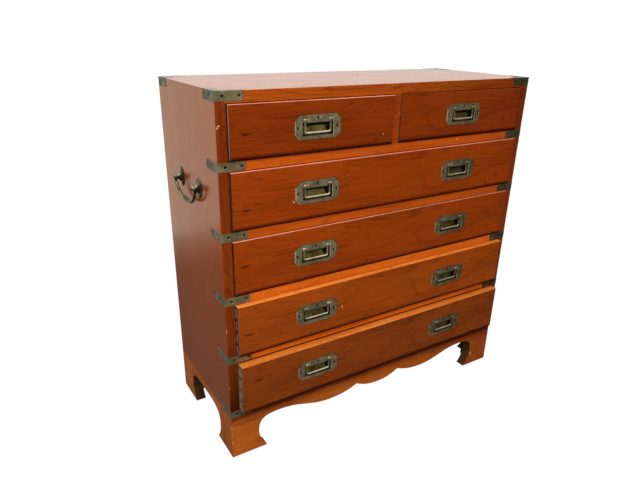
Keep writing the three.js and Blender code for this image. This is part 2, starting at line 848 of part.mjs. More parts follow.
// A round bar along a curve, with its own radius at each ring
function taperedBar( path, radiusAt, rings ) {

	const frames = path.computeFrenetFrames( rings, false );
	const positions = [];
	const faces = [];
	for ( let ring = 0; ring <= rings; ring ++ ) {

		const centre = path.getPointAt( ring / rings );
		for ( let side = 0; side < tubeSides; side ++ ) {

			const angle = 2 * Math.PI * side / tubeSides;
			const spot = centre.clone()
				.addScaledVector( frames.normals[ ring ], radiusAt( ring / rings ) * Math.cos( angle ) )
				.addScaledVector( frames.binormals[ ring ], radiusAt( ring / rings ) * Math.sin( angle ) );
			positions.push( spot.x, spot.y, spot.z );
			if ( ring === rings ) continue;
			const here = ring * tubeSides + side;
			const next = ring * tubeSides + ( side + 1 ) % tubeSides;
			faces.push( here, next, here + tubeSides, next, next + tubeSides, here + tubeSides );

		}

	}

	for ( let side = 1; side < tubeSides - 1; side ++ ) {

		const last = rings * tubeSides;
		faces.push( 0, side + 1, side );
		faces.push( last, last + side, last + side + 1 );

	}

	const geometry = new THREE.BufferGeometry();
	geometry.setAttribute( 'position', new THREE.Float32BufferAttribute( positions, 3 ) );
	geometry.setIndex( faces );
	return toSolid( geometry );

}

// Half of the bail's line, from the hinge to the middle: reach along the side, and fall
const neckReachShares = [ 1, 0.93, 0.74, 0.5, 0.2 ];
const neckFallShares = [ 0, 0.3, 0.7, 0.93, 1 ];
const bailRings = 26;

function sideBail( side ) {

	const armReach = handleSpread + eyeRadius + hingeGap + bailNeckRadius;
	const hingeX = halfWidth + postReach;
	const spots = neckReachShares.map( ( reachShare, index ) => {

		const fallShare = neckFallShares[ index ];
		return { reach: armReach * reachShare, fall: bailDrop * fallShare,
			out: THREE.MathUtils.lerp( hingeX, halfWidth + bailGripStand, fallShare ) };

	} );
	const line = ( end ) => spots.map( ( spot ) => {

		return new THREE.Vector3( side * spot.out, handleMiddle + end * spot.reach, handleHeight - spot.fall );

	} );
	const path = new THREE.CatmullRomCurve3( [ ...line( - 1 ), ...line( 1 ).reverse() ] );
	const radiusAt = ( along ) => bailNeckRadius
		+ ( bailGripRadius - bailNeckRadius ) * Math.sin( Math.PI * along ) ** 2;
	const pieces = [ taperedBar( path, radiusAt, bailRings ) ];
	const pinStart = handleSpread - eyeRadius - hingeGap;
	const neckStart = armReach - bailNeckRadius;
	const neckEnd = armReach + bailNeckRadius;
	for ( const end of [ - 1, 1 ] ) {

		for ( const [ radius, start ] of [ [ eyePinRadius, pinStart ], [ bailNeckRadius + hingeGap, neckStart ] ] ) {

			const reach = [ handleMiddle + end * start, handleMiddle + end * neckEnd ].sort( ( a, b ) => a - b );
			pieces.push( rodAlongY( radius, side * hingeX, ...reach, handleHeight, knuckleSides ) );

		}

	}

	return united( pieces );

}

for ( const [ sideName, side ] of [ [ 'left', - 1 ], [ 'right', 1 ] ] ) {

	place( `handle_post_${ sideName }_front`, postShape( side, handleMiddle - handleSpread ), 'agedBrass' );
	place( `handle_post_${ sideName }_rear`, postShape( side, handleMiddle + handleSpread ), 'agedBrass' );
	place( `side_bail_${ sideName }`, sideBail( side ), 'agedBrass' );

}

// The origin is on the floor under the middle of the whole chest, open drawers included
const mostOpen = Math.max( topLeftOpen, topRightOpen, secondOpen, thirdOpen, fourthOpen, bottomOpen );
chest.position.y = ( mostOpen + plateStand + knuckleStand ) / 2;

export default chest;
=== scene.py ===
# A campaign chest: two short drawers over four long ones, brass-bound corners, flush pulls,
# lifting handles on the sides and a shaped bracket base. Lengths are in metres, +X is to the
# viewer's right, the front faces -Y and +Z is up.

import functools
import json
import math
import random

import bmesh
import bpy
from mathutils import Matrix, Vector

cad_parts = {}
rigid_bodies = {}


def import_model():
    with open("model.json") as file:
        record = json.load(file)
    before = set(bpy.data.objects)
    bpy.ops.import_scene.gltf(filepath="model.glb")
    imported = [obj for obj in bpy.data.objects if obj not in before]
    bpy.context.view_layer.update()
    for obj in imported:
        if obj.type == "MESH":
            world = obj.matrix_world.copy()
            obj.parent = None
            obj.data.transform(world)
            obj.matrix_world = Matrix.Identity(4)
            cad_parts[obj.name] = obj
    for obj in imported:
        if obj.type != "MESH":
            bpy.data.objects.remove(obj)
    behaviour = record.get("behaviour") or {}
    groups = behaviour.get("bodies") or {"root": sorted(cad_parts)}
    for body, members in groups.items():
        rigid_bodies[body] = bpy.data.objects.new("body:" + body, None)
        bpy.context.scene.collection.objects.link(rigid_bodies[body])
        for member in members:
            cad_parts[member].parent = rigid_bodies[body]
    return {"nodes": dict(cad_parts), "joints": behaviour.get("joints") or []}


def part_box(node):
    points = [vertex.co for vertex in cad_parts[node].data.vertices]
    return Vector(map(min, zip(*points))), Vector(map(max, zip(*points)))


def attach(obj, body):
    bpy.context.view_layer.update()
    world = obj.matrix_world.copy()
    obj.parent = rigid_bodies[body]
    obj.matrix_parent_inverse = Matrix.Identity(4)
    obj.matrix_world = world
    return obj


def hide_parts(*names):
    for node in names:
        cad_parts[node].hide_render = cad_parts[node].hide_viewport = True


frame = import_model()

nodes = frame["nodes"]
joints = {joint["name"]: joint for joint in frame["joints"]}
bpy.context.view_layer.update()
mm = 0.001

# Sides. Two boards faced with sliced cherry veneer, grain upright, stained red-brown under a
# clear lacquer that mirrors the room at a low angle. A darker lipping covers the front edge,
# knocked to pale wood in places, and the inside was left bare.

side_low, side_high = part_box("side_left")
carcase_left = side_low.x
carcase_front = side_low.y
carcase_rear = side_high.y
side_arris = 1.1 * mm
lipping_depth = 9 * mm
sides = (("left", -1), ("right", 1))

# Where knocks have bared the lipping: X and Z of each, and half its width and height in mm
lipping_knocks = (
    (-0.4505, 0.8368, 2.6, 1.3), (-0.4535, 0.8330, 1.4, 1.8), (-0.4565, 0.372, 0.9, 5),
    (-0.4565, 0.214, 1.0, 2.6), (0.4565, 0.498, 0.9, 4))
knock_depth = 3 * mm

# The figure of cherry: how far each feature runs along the grain and across it; half-sizes for
# the knot, which goes right through a board
ring_size = (420 * mm, 60 * mm)
streak_size = (120 * mm, 5 * mm)
pore_size = (14 * mm, 0.9 * mm)
cloud_size = (300 * mm, 90 * mm)
pip_spacing = (24 * mm, 15 * mm)
knot_half = (11 * mm, 100, 3 * mm)
ring_count = 30


def linear(code):
    """An sRGB hex colour as the linear colour that a socket takes."""
    channels = [int(code[i:i + 2], 16) / 255 for i in (0, 2, 4)]
    return [c / 12.92 if c <= 0.04045 else ((c + 0.055) / 1.055) ** 2.4 for c in channels] + [1]


def add_node(tree, kind, links=(), stops=None, **settings):
    """A new node of the tree, with its settings.

    links gives the inputs in use, in order or by name: a value, a socket to follow, or a node,
    whose first output in use it follows. stops are the places and colours of a ramp.
    """
    node = tree.nodes.new("ShaderNode" + kind)
    for key, value in settings.items():
        setattr(node, key, value)
    if not isinstance(links, dict):
        links = dict(zip((i for i, socket in enumerate(node.inputs) if socket.enabled), links))
    for place, value in links.items():
        if isinstance(value, bpy.types.Node):
            value = next(output for output in value.outputs if output.enabled)
        if isinstance(value, bpy.types.NodeSocket):
            tree.links.new(value, node.inputs[place])
        else:
            node.inputs[place].default_value = value
    if stops:
        ramp = node.color_ramp
        while len(ramp.elements) < len(stops):
            ramp.elements.new(0.5)
        for element, (at, code) in zip(ramp.elements, stops):
            element.position = at
            element.color = linear(code)
    return node


def new_material(name):
    """An empty material, a function that adds nodes to it, and the place on the piece."""
    material = bpy.data.materials.new(name)
    material.use_nodes = True
    material.node_tree.nodes.clear()
    add = functools.partial(add_node, material.node_tree)
    return material, add, add("TexCoord").outputs["Object"]


def measured(add, place, length, breadth):
    """The place, counted in lengths along the grain and in breadths across it."""
    return add("VectorMath", (place, (1 / length, 1 / breadth, 1 / breadth)), operation="MULTIPLY")


def stretched_noise(add, place, length, breadth, detail, low, high):
    """Cloudy noise of this length along the grain and breadth across it, spread from low to high."""
    noise = add("TexNoise", {
        "Vector": measured(add, place, length, breadth), "Scale": 1.0, "Detail": detail,
        "Roughness": 0.55})
    return add("MapRange", (noise, 0.3, 0.7, low, high))


def out_from(add, place, middle, half_sizes):
    """How far a place is from the middle of an ellipse, counted in its half-sizes."""
    away = add("VectorMath", (place, middle), operation="SUBTRACT")
    shares = add("VectorMath", (away, half_sizes), operation="DIVIDE")
    return add("VectorMath", (shares,), operation="LENGTH")


def summed(add, *values):
    """The sum of several values."""
    total = values[0]
    for value in values[1:]:
        total = add("Math", (total, value), operation="ADD")
    return total


def wood_figure(add, grain, colours, contrast=1.0, pip_share=0.16, eye=None):
    """The colour of sliced wood: faint growth rings, streaks along the grain and small pips.

    colours are the shade, the body and the light of the figure; eye is the middle of a knot.
    """
    shade, body, light = colours
    field = add("TexNoise", {
        "Vector": measured(add, grain, *ring_size), "Scale": 1.0, "Detail": 1.0, "Roughness": 0.4,
        "Distortion": 0.25})
    if eye:
        # The rings part round the knot, a dark eye that lies along the grain
        distance = out_from(add, grain, eye, knot_half)
        swell = add("MapRange", (distance, 0.0, 9.0, 0.2, 0.0), interpolation_type="SMOOTHSTEP")
        field = summed(add, field, swell)

    rings = add("Math", (field, ring_count), operation="MULTIPLY")
    band = add("Math", (rings, 1.0), operation="PINGPONG")
    ring = add("MapRange", (band, 0.0, 0.4, -0.2 * contrast, 0.0), interpolation_type="SMOOTHSTEP")
    streak = stretched_noise(add, grain, *streak_size, 2.0, -0.14 * contrast, 0.14 * contrast)
    pore = stretched_noise(add, grain, *pore_size, 1.0, -0.1 * contrast, 0.1 * contrast)
    cloud = stretched_noise(add, grain, *cloud_size, 1.0, -0.16 * contrast, 0.16 * contrast)
    tone = summed(add, ring, streak, pore, cloud, 0.52)
    colour = add("ValToRGB", (tone,), stops=[(0.08, shade), (0.5, body), (0.92, light)])

    # Pips: pin knots two or three millimetres across, in loose groups
    pips = add("TexVoronoi", {"Vector": measured(add, grain, *pip_spacing), "Scale": 1.0})
    spot = add("MapRange", (pips.outputs["Distance"], 0.05, 0.13, 0.85, 0.0))
    lot = add("SeparateColor", (pips.outputs["Color"],))
    few = add("Math", (lot.outputs["Red"], pip_share), operation="LESS_THAN")
    pip = add("Math", (spot, few), operation="MULTIPLY")
    colour = add("Mix", (pip, colour, linear("2c1004")), data_type="RGBA")
    if eye:
        ragged = summed(add, distance, streak)
        dark = add("MapRange", (ragged, 0.5, 1.5, 0.75, 0.0))
        colour = add("Mix", (dark, colour, linear("2e1104")), data_type="RGBA")
    return colour, streak


def marked(add, place, colour, knocks, front, code):
    """Knocks and scratches on the face at this Y: ragged ellipses of another colour."""
    rag = add("TexNoise", {"Vector": place, "Scale": 700.0, "Detail": 2.0})
    for x, z, width, height in knocks:
        distance = out_from(add, place, (x, front, z), (width * mm, knock_depth, height * mm))
        edge = summed(add, distance, rag)
        inside = add("MapRange", (edge, 1.35, 1.6, 1.0, 0.0))
        colour = add("Mix", (inside, colour, linear(code)), data_type="RGBA")
    return colour


def finish_wood(add, colour, streak, place, roughness, sheen, coat, relief_depth):
    """The surface of the wood: its sheen, smudged by hands, over relief in the grain."""
    smudge = stretched_noise(add, place, 70 * mm, 70 * mm, 2.0, roughness - 0.03, roughness + 0.05)
    relief = add("Bump", {"Height": streak, "Strength": 0.5, "Distance": relief_depth})
    shader = add("BsdfPrincipled", {
        "Base Color": colour, "Roughness": smudge, "Normal": relief,
        "Specular IOR Level": sheen, "Coat Weight": coat, "Coat Roughness": roughness})
    add("OutputMaterial", {"Surface": shader})


def painted_shade_along(add, place, axis, colour, stops):
    """Painted shade: darkens the colour more in some places along an axis than in others, where less
    light falls.
    """
    along = add("SeparateXYZ", (place,)).outputs[axis]
    shade = add("ValToRGB", (along,), stops=stops)
    return add("Mix", (1.0, colour, shade), data_type="RGBA", blend_type="MULTIPLY")


def along_grain(add, place, along, offset):
    """The place, turned so that the grain runs along its X, and shifted to another part of the log."""
    turn = math.pi / 2 if along == "Z" else 0
    return add("Mapping", {"Vector": place, "Location": offset, "Rotation": (0, turn, 0)})


def lacquered_cherry(name, colours, along, offset, roughness, sheen=0.1, coat=0.0, knocks=(),
                     front=carcase_front, bared="d8a878", eye=None, contrast=1.0, shade_stops=()):
    """Cherry veneer, stained and lacquered: red-brown with a low, even gloss and a fine figure."""
    material, add, place = new_material(name)
    grain = along_grain(add, place, along, offset)
    colour, streak = wood_figure(add, grain, colours, contrast, eye=eye)
    for axis, stops in shade_stops:
        colour = painted_shade_along(add, place, axis, colour, stops)
    colour = marked(add, place, colour, knocks, front, bared)
    finish_wood(add, colour, streak, place, roughness, sheen, coat, 0.03 * mm)
    return material


def bare_wood(name, colours, along, offset=(0, 0, 0), pip_share=0.1, contrast=1.2):
    """Planed wood with no finish: dull, greyed and dusty, its pores open.

    along is the axis of the grain, or "length" for thin boards that stand both ways.
    """
    material, add, place = new_material(name)
    source = place
    if along == "length":
        looks = add("SeparateXYZ", (place.node.outputs["Normal"],))
        either_way = add("Math", (looks.outputs["X"],), operation="ABSOLUTE")
        sideways = add("Math", (either_way, 0.7), operation="GREATER_THAN")
        parts = add("SeparateXYZ", (place,))
        swapped = add("CombineXYZ", (parts.outputs["Y"], parts.outputs["X"], parts.outputs["Z"]))
        source = add("Mix", (sideways, place, swapped), data_type="VECTOR")
    grain = along_grain(add, source, along, offset)
    colour, streak = wood_figure(add, grain, colours, contrast, pip_share)
    finish_wood(add, colour, streak, place, 0.72, 0.3, 0.0, 0.2 * mm)
    return material


def only(piece):
    """Selects this piece alone and makes it the active one."""
    bpy.ops.object.select_all(action="DESELECT")
    piece.select_set(True)
    bpy.context.view_layer.objects.active = piece


def apply_all(piece):
    """Applies each modifier on the piece, in order."""
    only(piece)
    for modifier in list(piece.modifiers):
        bpy.ops.object.modifier_apply(modifier=modifier.name)


def in_edit_mode(piece, *steps):
    """Runs each step with the whole piece selected in edit mode."""
    only(piece)
    bpy.ops.object.mode_set(mode="EDIT")
    for step in steps:
        bpy.ops.mesh.select_all(action="SELECT")
        step()
    bpy.ops.object.mode_set(mode="OBJECT")


def cut_flat(piece, place, outward, take_off=True):
    """Cuts a piece along the plane through place, and takes off what lies outward of it."""
    in_edit_mode(piece, lambda: bpy.ops.mesh.bisect(
        plane_co=place, plane_no=outward, use_fill=take_off, clear_outer=take_off))


def weld():
    """Joins corners that lie on the same spot."""
    bpy.ops.mesh.remove_doubles(threshold=0.01 * mm)


def flatten():
    """Merges the triangles of each flat face."""
    bpy.ops.mesh.dissolve_limited(angle_limit=math.radians(0.6))


def face_outward():
    """Turns every face to look out of the piece."""
    bpy.ops.mesh.normals_make_consistent(inside=False)


def new_object(name, data):
    """An object that shows this mesh or curve, with its origin at zero."""
    piece = bpy.data.objects.new(name, data)
    bpy.context.collection.objects.link(piece)
    return piece


def copy_of(node, name):
    """A copy of a CAD piece, its triangles merged into whole faces."""
    piece = new_object(name, nodes[node].data.copy())
    in_edit_mode(piece, weld, flatten)
    return piece


def ease(piece, width, is_eased, segments=2):
    """Rounds the chosen arrises of a piece, or a share of them, as sanding and handling do."""
    shape = bmesh.new()
    shape.from_mesh(piece.data)
    layers = shape.edges.layers.float
    weights = layers.get("bevel_weight_edge") or layers.new("bevel_weight_edge")
    for edge in shape.edges:
        is_arris = edge.is_manifold and edge.is_convex and edge.calc_face_angle(0) > math.radians(30)
        edge[weights] = float(is_arris and is_eased(edge))
    shape.to_mesh(piece.data)
    shape.free()
    bevel = piece.modifiers.new("eased", "BEVEL")
    bevel.limit_method = "WEIGHT"
    bevel.width = width
    bevel.segments = segments
    bevel.use_clamp_overlap = False
    apply_all(piece)
    bpy.ops.object.shade_flat()


def near(value, target, tolerance=0.05 * mm):
    """Whether two lengths are the same, but for rounding."""
    return abs(value - target) < tolerance


def paint(piece, materials, choose=lambda face: 0):
    """Gives the piece its materials, and each face the one that choose picks for it."""
    piece.data.materials.clear()
    for material in materials:
        piece.data.materials.append(material)
    for face in piece.data.polygons:
        face.material_index = choose(face)


# Plain veneer under a thick film of lacquer: red-brown, with a pale mirror of the room over it,
# and painted shade darkening it low down
side_colours = ("602406", "873b0e", "9d4a14")
side_veneer = lacquered_cherry(
    "side_cherry_veneer", side_colours, "Z", (0.4, 0.1, 0.7), 0.19, 0.5, 0.25, contrast=0.4,
    shade_stops=[("Z", [(0.15, "ddd6d0"), (0.6, "ffffff")])])

# Solid cherry, darker and duller than the veneer, with painted shade darkening it low down and
# near the top
lipping = lacquered_cherry(
    "side_lipping_cherry", ("5e2004", "7e3408", "8e410b"), "Z", (0.8, 0.3, 0.1), 0.3,
    knocks=lipping_knocks,
    shade_stops=[("Z", [(0.15, "887a6e"), (0.26, "e4dcd4"), (0.5, "ffffff"), (0.75, "dccec8")])])

# Unfinished boards inside: pale, dry and grey
bare_colours = ("6e5236", "8f7048", "a88a5e")
inner_wood = bare_wood("carcase_inside_bare", bare_colours, "Z")
side_boards = {}
for side_name, side in sides:
    outer = side * abs(carcase_left)
    board = copy_of(f"side_{side_name}", f"side_board_{side_name}")
    ease(board, side_arris, lambda edge: all(
        near(v.co.x, outer) and near(v.co.y, carcase_front) for v in edge.verts))
    cut_flat(board, (0, carcase_front + lipping_depth, 0), (0, 1, 0), take_off=False)
    paint(board, (side_veneer, lipping, inner_wood), lambda face: (
        0 if face.normal.x * side > 0.5 else 1 if face.center.y < carcase_front + lipping_depth
        else 2 if face.normal.x * side < -0.5 or face.normal.y > 0.5 else 0))
    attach(board, "carcase")
    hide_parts(f"side_{side_name}")
    side_boards[side_name] = board

# Top. One wide board faced with the same veneer, grain along the chest, mitred over the
# sides. A lipping runs along its front edge, orange at the left and darkened towards the right by
# painted shade.

top_low, top_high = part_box("top_board")
top_arris = 1.0 * mm

# The veneer of the sides, polished more: from low down it is mostly the pale wall
top_veneer = lacquered_cherry("top_cherry_veneer", side_colours, "X", (0.3, 0.2, 0.5), 0.17, 0.5, 0.3)

# Solid cherry, orange, with painted shade darkening it towards the right
top_lipping = lacquered_cherry(
    "top_lipping_cherry", ("702b06", "9a440b", "b0540f"), "X", (0.7, 0.1, 0.2), 0.28,
    shade_stops=[("X", [(0.0, "ffffff"), (0.15, "e2dcda"), (0.42, "c4b4ae")])])
top = copy_of("top_board", "top_board_eased")
ease(top, top_arris, lambda edge: all(
    near(v.co.z, top_high.z) and (near(v.co.y, top_low.y) or near(v.co.y, top_high.y))
    for v in edge.verts))
paint(top, (top_veneer, top_lipping, inner_wood), lambda face: (
    1 if face.normal.y < -0.9 else 2 if face.normal.z < -0.9 or face.normal.y > 0.9 else 0))
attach(top, "carcase")
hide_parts("top_board")

# Frames between the drawers. The front rail is a paler, more orange cherry than the drawers,
# polished on its face only, with painted shade darkening it under the bottom drawer and more
# and more towards the top; the runners and dust panels behind it are left bare.

rail_depth = 34 * mm
rail_material, add, place = new_material("rail_cherry_polished")
grain = along_grain(add, place, "X", (0.15, 0.35, 0.9))
rail_colour, streak = wood_figure(add, grain, ("b04c06", "d8680f", "ea8026"), 0.8, 0.14)
rail_colour = painted_shade_along(add, place, "Z", rail_colour, [
    (0.155, "5c4034"), (0.19, "ffffff"), (0.45, "f4ece6"), (0.6, "d4bcae"), (0.758, "cfb4a4"),
    (0.766, "a0857a")])
rail_colour = marked(add, place, rail_colour, (
    (0.0095, 0.8338, 1.2, 1.6), (0.2092, 0.7569, 2.2, 1.2)), carcase_front, "d8a878")
bare_colour = wood_figure(add, grain, bare_colours, 1.4, 0.1)[0]
depth = add("SeparateXYZ", (place,)).outputs["Y"]
behind = add("Math", (depth, carcase_front + rail_depth), operation="GREATER_THAN")
rail_colour = add("Mix", (behind, rail_colour, bare_colour), data_type="RGBA")
finish_wood(add, rail_colour, streak, place, 0.34, 0.15, 0.0, 0.05 * mm)
for name in ("drawer_frame_1", "drawer_frame_2", "drawer_frame_3", "drawer_frame_4", "bottom_frame"):
    paint(nodes[name], (rail_material,))

# Back of upright tongued boards, unpolished and darkened by age, nailed into the rebates and
# the frames with oval wire nails that have left dark heads.

back_low, back_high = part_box("back_panel")
nail_radius = 1.7 * mm
nail_sink = 1.2 * mm
nail_below = 0.4 * mm
nail_round = 0.4 * mm
nail_seat = 1.25 * nail_radius
nail_inset = 14 * mm
overrun = 1 * mm

# Rough boards gone dark brown, with no shine at all
back_material = bare_wood("back_boards_aged", ("3f2c1c", "6a4a30", "7e5a3c"), "Z", (0.9, 0.3, 0.1), 0.2)


def joined(pieces, name):
    """One object made of several."""
    only(pieces[0])
    for piece in pieces[1:]:
        piece.select_set(True)
    bpy.ops.object.join()
    pieces[0].name = name
    return pieces[0]


def primitive(kind, **settings):
    """Adds a primitive with nothing else selected, and moves its place into its mesh."""
    bpy.ops.object.select_all(action="DESELECT")
    getattr(bpy.ops.mesh, f"primitive_{kind}_add")(**settings)
    piece = bpy.context.active_object
    only(piece)
    bpy.ops.object.transform_apply(location=True, rotation=True, scale=True)
    return piece


def cut_away(piece, cutters):
    """Cuts the shapes out of the piece and clears them away."""
    cutter = joined(cutters, "cutter")
    cut = piece.modifiers.new("cut", "BOOLEAN")
    cut.operation = "DIFFERENCE"
    cut.solver = "EXACT"
    cut.object = cutter
    apply_all(piece)
    bpy.data.objects.remove(cutter)


# Iron under a skin of rust: nearly black dots, rough and brown at their rims
rust_spots = 3 * mm
iron, add, place = new_material("nail_iron_rusted")
rust = add("TexNoise", {"Vector": place, "Scale": 1 / rust_spots, "Detail": 3.0})
colour = add("ValToRGB", (rust,), stops=[(0.35, "1f1813"), (0.7, "4a3020")])
relief = add("Bump", {"Height": rust, "Strength": 0.5, "Distance": 0.1 * mm})
shader = add("BsdfPrincipled", {
    "Base Color": colour, "Metallic": 0.3, "Roughness": 0.75, "Normal": relief})
add("OutputMaterial", {"Surface": shader})

board_count = 7
board_pitch = (back_high.x - back_low.x) / board_count
nail_spots = [(back_low.x + (index + share) * board_pitch, height)
              for index in range(board_count) for share in (0.25, 0.75)
              for height in (back_low.z + nail_inset, back_high.z - nail_inset)]


def upright_discs(radius, near_y, far_y):
    """A disc at each nail's place, standing between two depths."""
    return joined([primitive(
        "cylinder", vertices=12, radius=radius, depth=far_y - near_y, rotation=(math.pi / 2, 0, 0),
        location=(x, (near_y + far_y) / 2, z)) for x, z in nail_spots], "discs")


back = copy_of("back_panel", "back_boards")
cut_away(back, [upright_discs(nail_seat, back_high.y - nail_sink, back_high.y + overrun)])
paint(back, (back_material,))
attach(back, "carcase")
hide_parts("back_panel")
head_y = back_high.y - nail_below
back_nails = upright_discs(nail_radius, back_high.y - nail_sink, head_y)
back_nails.name = "back_nails"
ease(back_nails, nail_round, lambda edge: all(near(v.co.y, head_y) for v in edge.verts))
paint(back_nails, (iron,))
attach(back_nails, "carcase")

# Bracket base. An apron sawn to a serpentine, arched sides and plain rear brackets, mitred at
# the corners and glued to blocks and ledgers inside. The faces are stained orange-brown; what
# the saw cut and what is turned inwards stayed dark.

base_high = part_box("bracket_base")[1]
base_half = base_high.x
base_height = base_high.z
base_thickness = 28 * mm
curve_steps = 20
base_arris = 0.9 * mm
bracket_foot = 98 * mm
bracket_reach = 150 * mm


def spot(x, z):
    """A point of an outline, given in millimetres from the middle and from the floor."""
    return Vector((x * mm, z * mm, 0))


def foot_edge(shoulder, waist, tip):
    """From the top of an arch, down the inner edge of a foot, to its tip at the floor."""
    out = waist.x - shoulder.x
    fall = shoulder.y - waist.y
    return [
        (shoulder, Vector((shoulder.x + out * 0.78, shoulder.y, 0)),
         Vector((waist.x, waist.y + fall * 0.76, 0)), waist),
        (waist, Vector((waist.x, waist.y * 0.6, 0)),
         Vector((tip.x + (waist.x - tip.x) * 0.4, waist.y * 0.2, 0)), tip)]


def both_ways(half):
    """A row of curves that starts in the middle, led in by its mirror image."""
    flip = Vector((-1, 1, 1))
    return [tuple(p * flip for p in reversed(span)) for span in reversed(half)] + half


def square_corners(half):
    """The four corners that close the outline of a whole board, from the floor on its right."""
    return [Vector((x, z, 0)) for x, z in (
        (half, 0), (half, base_height), (-half, base_height), (-half, 0))]


def sawn_board(name, spans, corners, to_world):
    """A board whose lower edge follows the curves, closed by straight lines to the corners.

    Each curve has its start, the two controls between and its end.
    """
    outline = bpy.data.curves.new(name, "CURVE")
    outline.dimensions = "2D"
    outline.fill_mode = "BOTH"
    outline.extrude = base_thickness / 2
    outline.resolution_u = curve_steps
    line = outline.splines.new("BEZIER")
    line.bezier_points.add(len(spans) + len(corners))
    line.use_cyclic_u = True
    knots = [span[0] for span in spans] + [spans[-1][3]] + list(corners)
    for knot, place in zip(line.bezier_points, knots):
        knot.handle_left_type = knot.handle_right_type = "FREE"
        knot.co = knot.handle_left = knot.handle_right = place
    for index, span in enumerate(spans):
        line.bezier_points[index].handle_right = span[1]
        line.bezier_points[index + 1].handle_left = span[2]
    piece = new_object(name, outline)
    only(piece)
    bpy.ops.object.convert(target="MESH")
    piece.data.transform(to_world)
    in_edit_mode(piece, weld, flatten, face_outward)
    return piece


apron_half = [
    (spot(0, 70), spot(40.7, 70), spot(57.7, 81.1), spot(74, 88.5)),
    (spot(74, 88.5), spot(93.4, 81.5), spot(113.6, 71), spot(162, 71)),
    (spot(162, 71), spot(229.2, 71), spot(254.8, 98.5), spot(322, 98.5)),
    *foot_edge(spot(322, 98.5), spot(381, 54), spot(359, 0))]
half_depth = (carcase_rear - carcase_front) / 2
depth_mm = half_depth / mm
arch_half = [
    (spot(0, 96.5), spot(10, 96.5), spot(20, 96.5), spot(depth_mm - 150, 96.5)),
    *foot_edge(spot(depth_mm - 150, 96.5), spot(depth_mm - 77, 50), spot(depth_mm - 97, 0))]

# Solid cherry under an orange-brown stain: the brightest wood of the chest, dull, its knocks pale
base_knocks = (
    (0.3865, 0.0405, 2.2, 5.5), (0.4045, 0.0153, 2.5, 1.4), (-0.4565, 0.094, 1.3, 2.6),
    (-0.4565, 0.071, 1.1, 1.5), (-0.4565, 0.048, 1.0, 3.0))
# Painted shade darkens it towards the right and along its top, under the bottom drawer
base_material = lacquered_cherry(
    "base_cherry_stained", ("8c420a", "b25a14", "c87020"), "X", (0.55, 0.15, 0.3), 0.36, contrast=0.7,
    knocks=base_knocks, bared="e0a888",
    shade_stops=[("X", [(0.0, "ffffff"), (0.2, "f4ece6"), (0.42, "e0ccc0")]),
          ("Z", [(0.09, "ffffff"), (0.106, "e8dad0"), (0.121, "84624e")])])

# The sides took the same stain on upright grain, and look browner
side_base_material = lacquered_cherry(
    "side_base_cherry_stained", ("703410", "985020", "ae6430"), "Z", (0.25, 0.45, 0.1), 0.3)

# Sawn edges, never finished: dark brown and dull
sawn_material = bare_wood("base_sawn_edge", ("241609", "402a14", "5c3c1e"), "X", (0.1, 0.7, 0.4))

standing = Matrix(((1, 0, 0), (0, 0, -1), (0, 1, 0))).to_4x4()
front_to_world = Matrix.Translation((0, carcase_front + base_thickness / 2, 0)) @ standing
rear_to_world = Matrix.Translation((0, carcase_rear - base_thickness / 2, 0)) @ standing
apron = sawn_board("base_apron", both_ways(apron_half), square_corners(base_half), front_to_world)
for side in (-1, 1):
    cut_flat(apron, (side * base_half, carcase_front, 0), (side, 1, 0))
base_boards = [(apron, base_material, Vector((0, -1, 0)))]
for side_name, side in sides:
    side_to_world = Matrix.Translation((side * (base_half - base_thickness / 2), (
        carcase_front + carcase_rear) / 2, 0)) @ Matrix(((0, 0, 1), (1, 0, 0), (0, 1, 0))).to_4x4()
    board = sawn_board(
        f"base_side_{side_name}", both_ways(arch_half), square_corners(half_depth), side_to_world)
    cut_flat(board, (side * base_half, carcase_front, 0), (-side, -1, 0))
    cut_flat(board, (side * base_half, carcase_rear, 0), (-side, 1, 0))
    base_boards.append((board, side_base_material, Vector((side, 0, 0))))

    foot = Vector((side * (base_half - bracket_foot), 0, 0))
    reach = Vector((side * (base_half - bracket_reach), base_height, 0))
    bracket_corners = (Vector((side * base_half, base_height, 0)), Vector((side * base_half, 0, 0)))
    hollow = (foot, foot.lerp(reach, 0.3), foot.lerp(reach, 0.6), reach)
    bracket = sawn_board(f"base_bracket_{side_name}", [hollow], bracket_corners, rear_to_world)
    cut_flat(bracket, (side * base_half, carcase_rear, 0), (side, -1, 0))
    base_boards.append((bracket, back_material, Vector((0, 1, 0))))


def at_mitre(place):
    """Whether a place is on the outer corner of two boards, which stays sharp."""
    return near(abs(place.x), base_half) and (
        near(place.y, carcase_front) or near(place.y, carcase_rear))


for board, material, outward in base_boards:
    face_place = max(v.co.dot(outward) for v in board.data.vertices)
    ease(board, base_arris, lambda edge: (
        all(near(v.co.dot(outward), face_place) for v in edge.verts)
        and not all(at_mitre(v.co) for v in edge.verts)
        and not all(near(v.co.z, base_height) for v in edge.verts)))
    paint(board, (material, sawn_material), lambda face: 0 if face.normal.dot(outward) > 0.5 else 1)
    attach(board, "carcase")
    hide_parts("bracket_base")

# Blocks and ledgers are offcuts, glued in with their arrises knocked off
block_arris = 0.8 * mm
block_size = 27 * mm
block_lift = 4 * mm
ledger_size = 18 * mm
inner_half = base_half - base_thickness
inner_front = carcase_front + base_thickness
inner_rear = carcase_rear - base_thickness


def planed_block(xs, ys, foot):
    """A planed length of square stuff, from its foot up to the top of the base."""
    low, high = Vector((min(xs), ys[0], foot)), Vector((max(xs), ys[1], base_height))
    piece = primitive("cube", size=1, location=(low + high) / 2, scale=high - low)
    ease(piece, block_arris, lambda edge: True)
    return piece


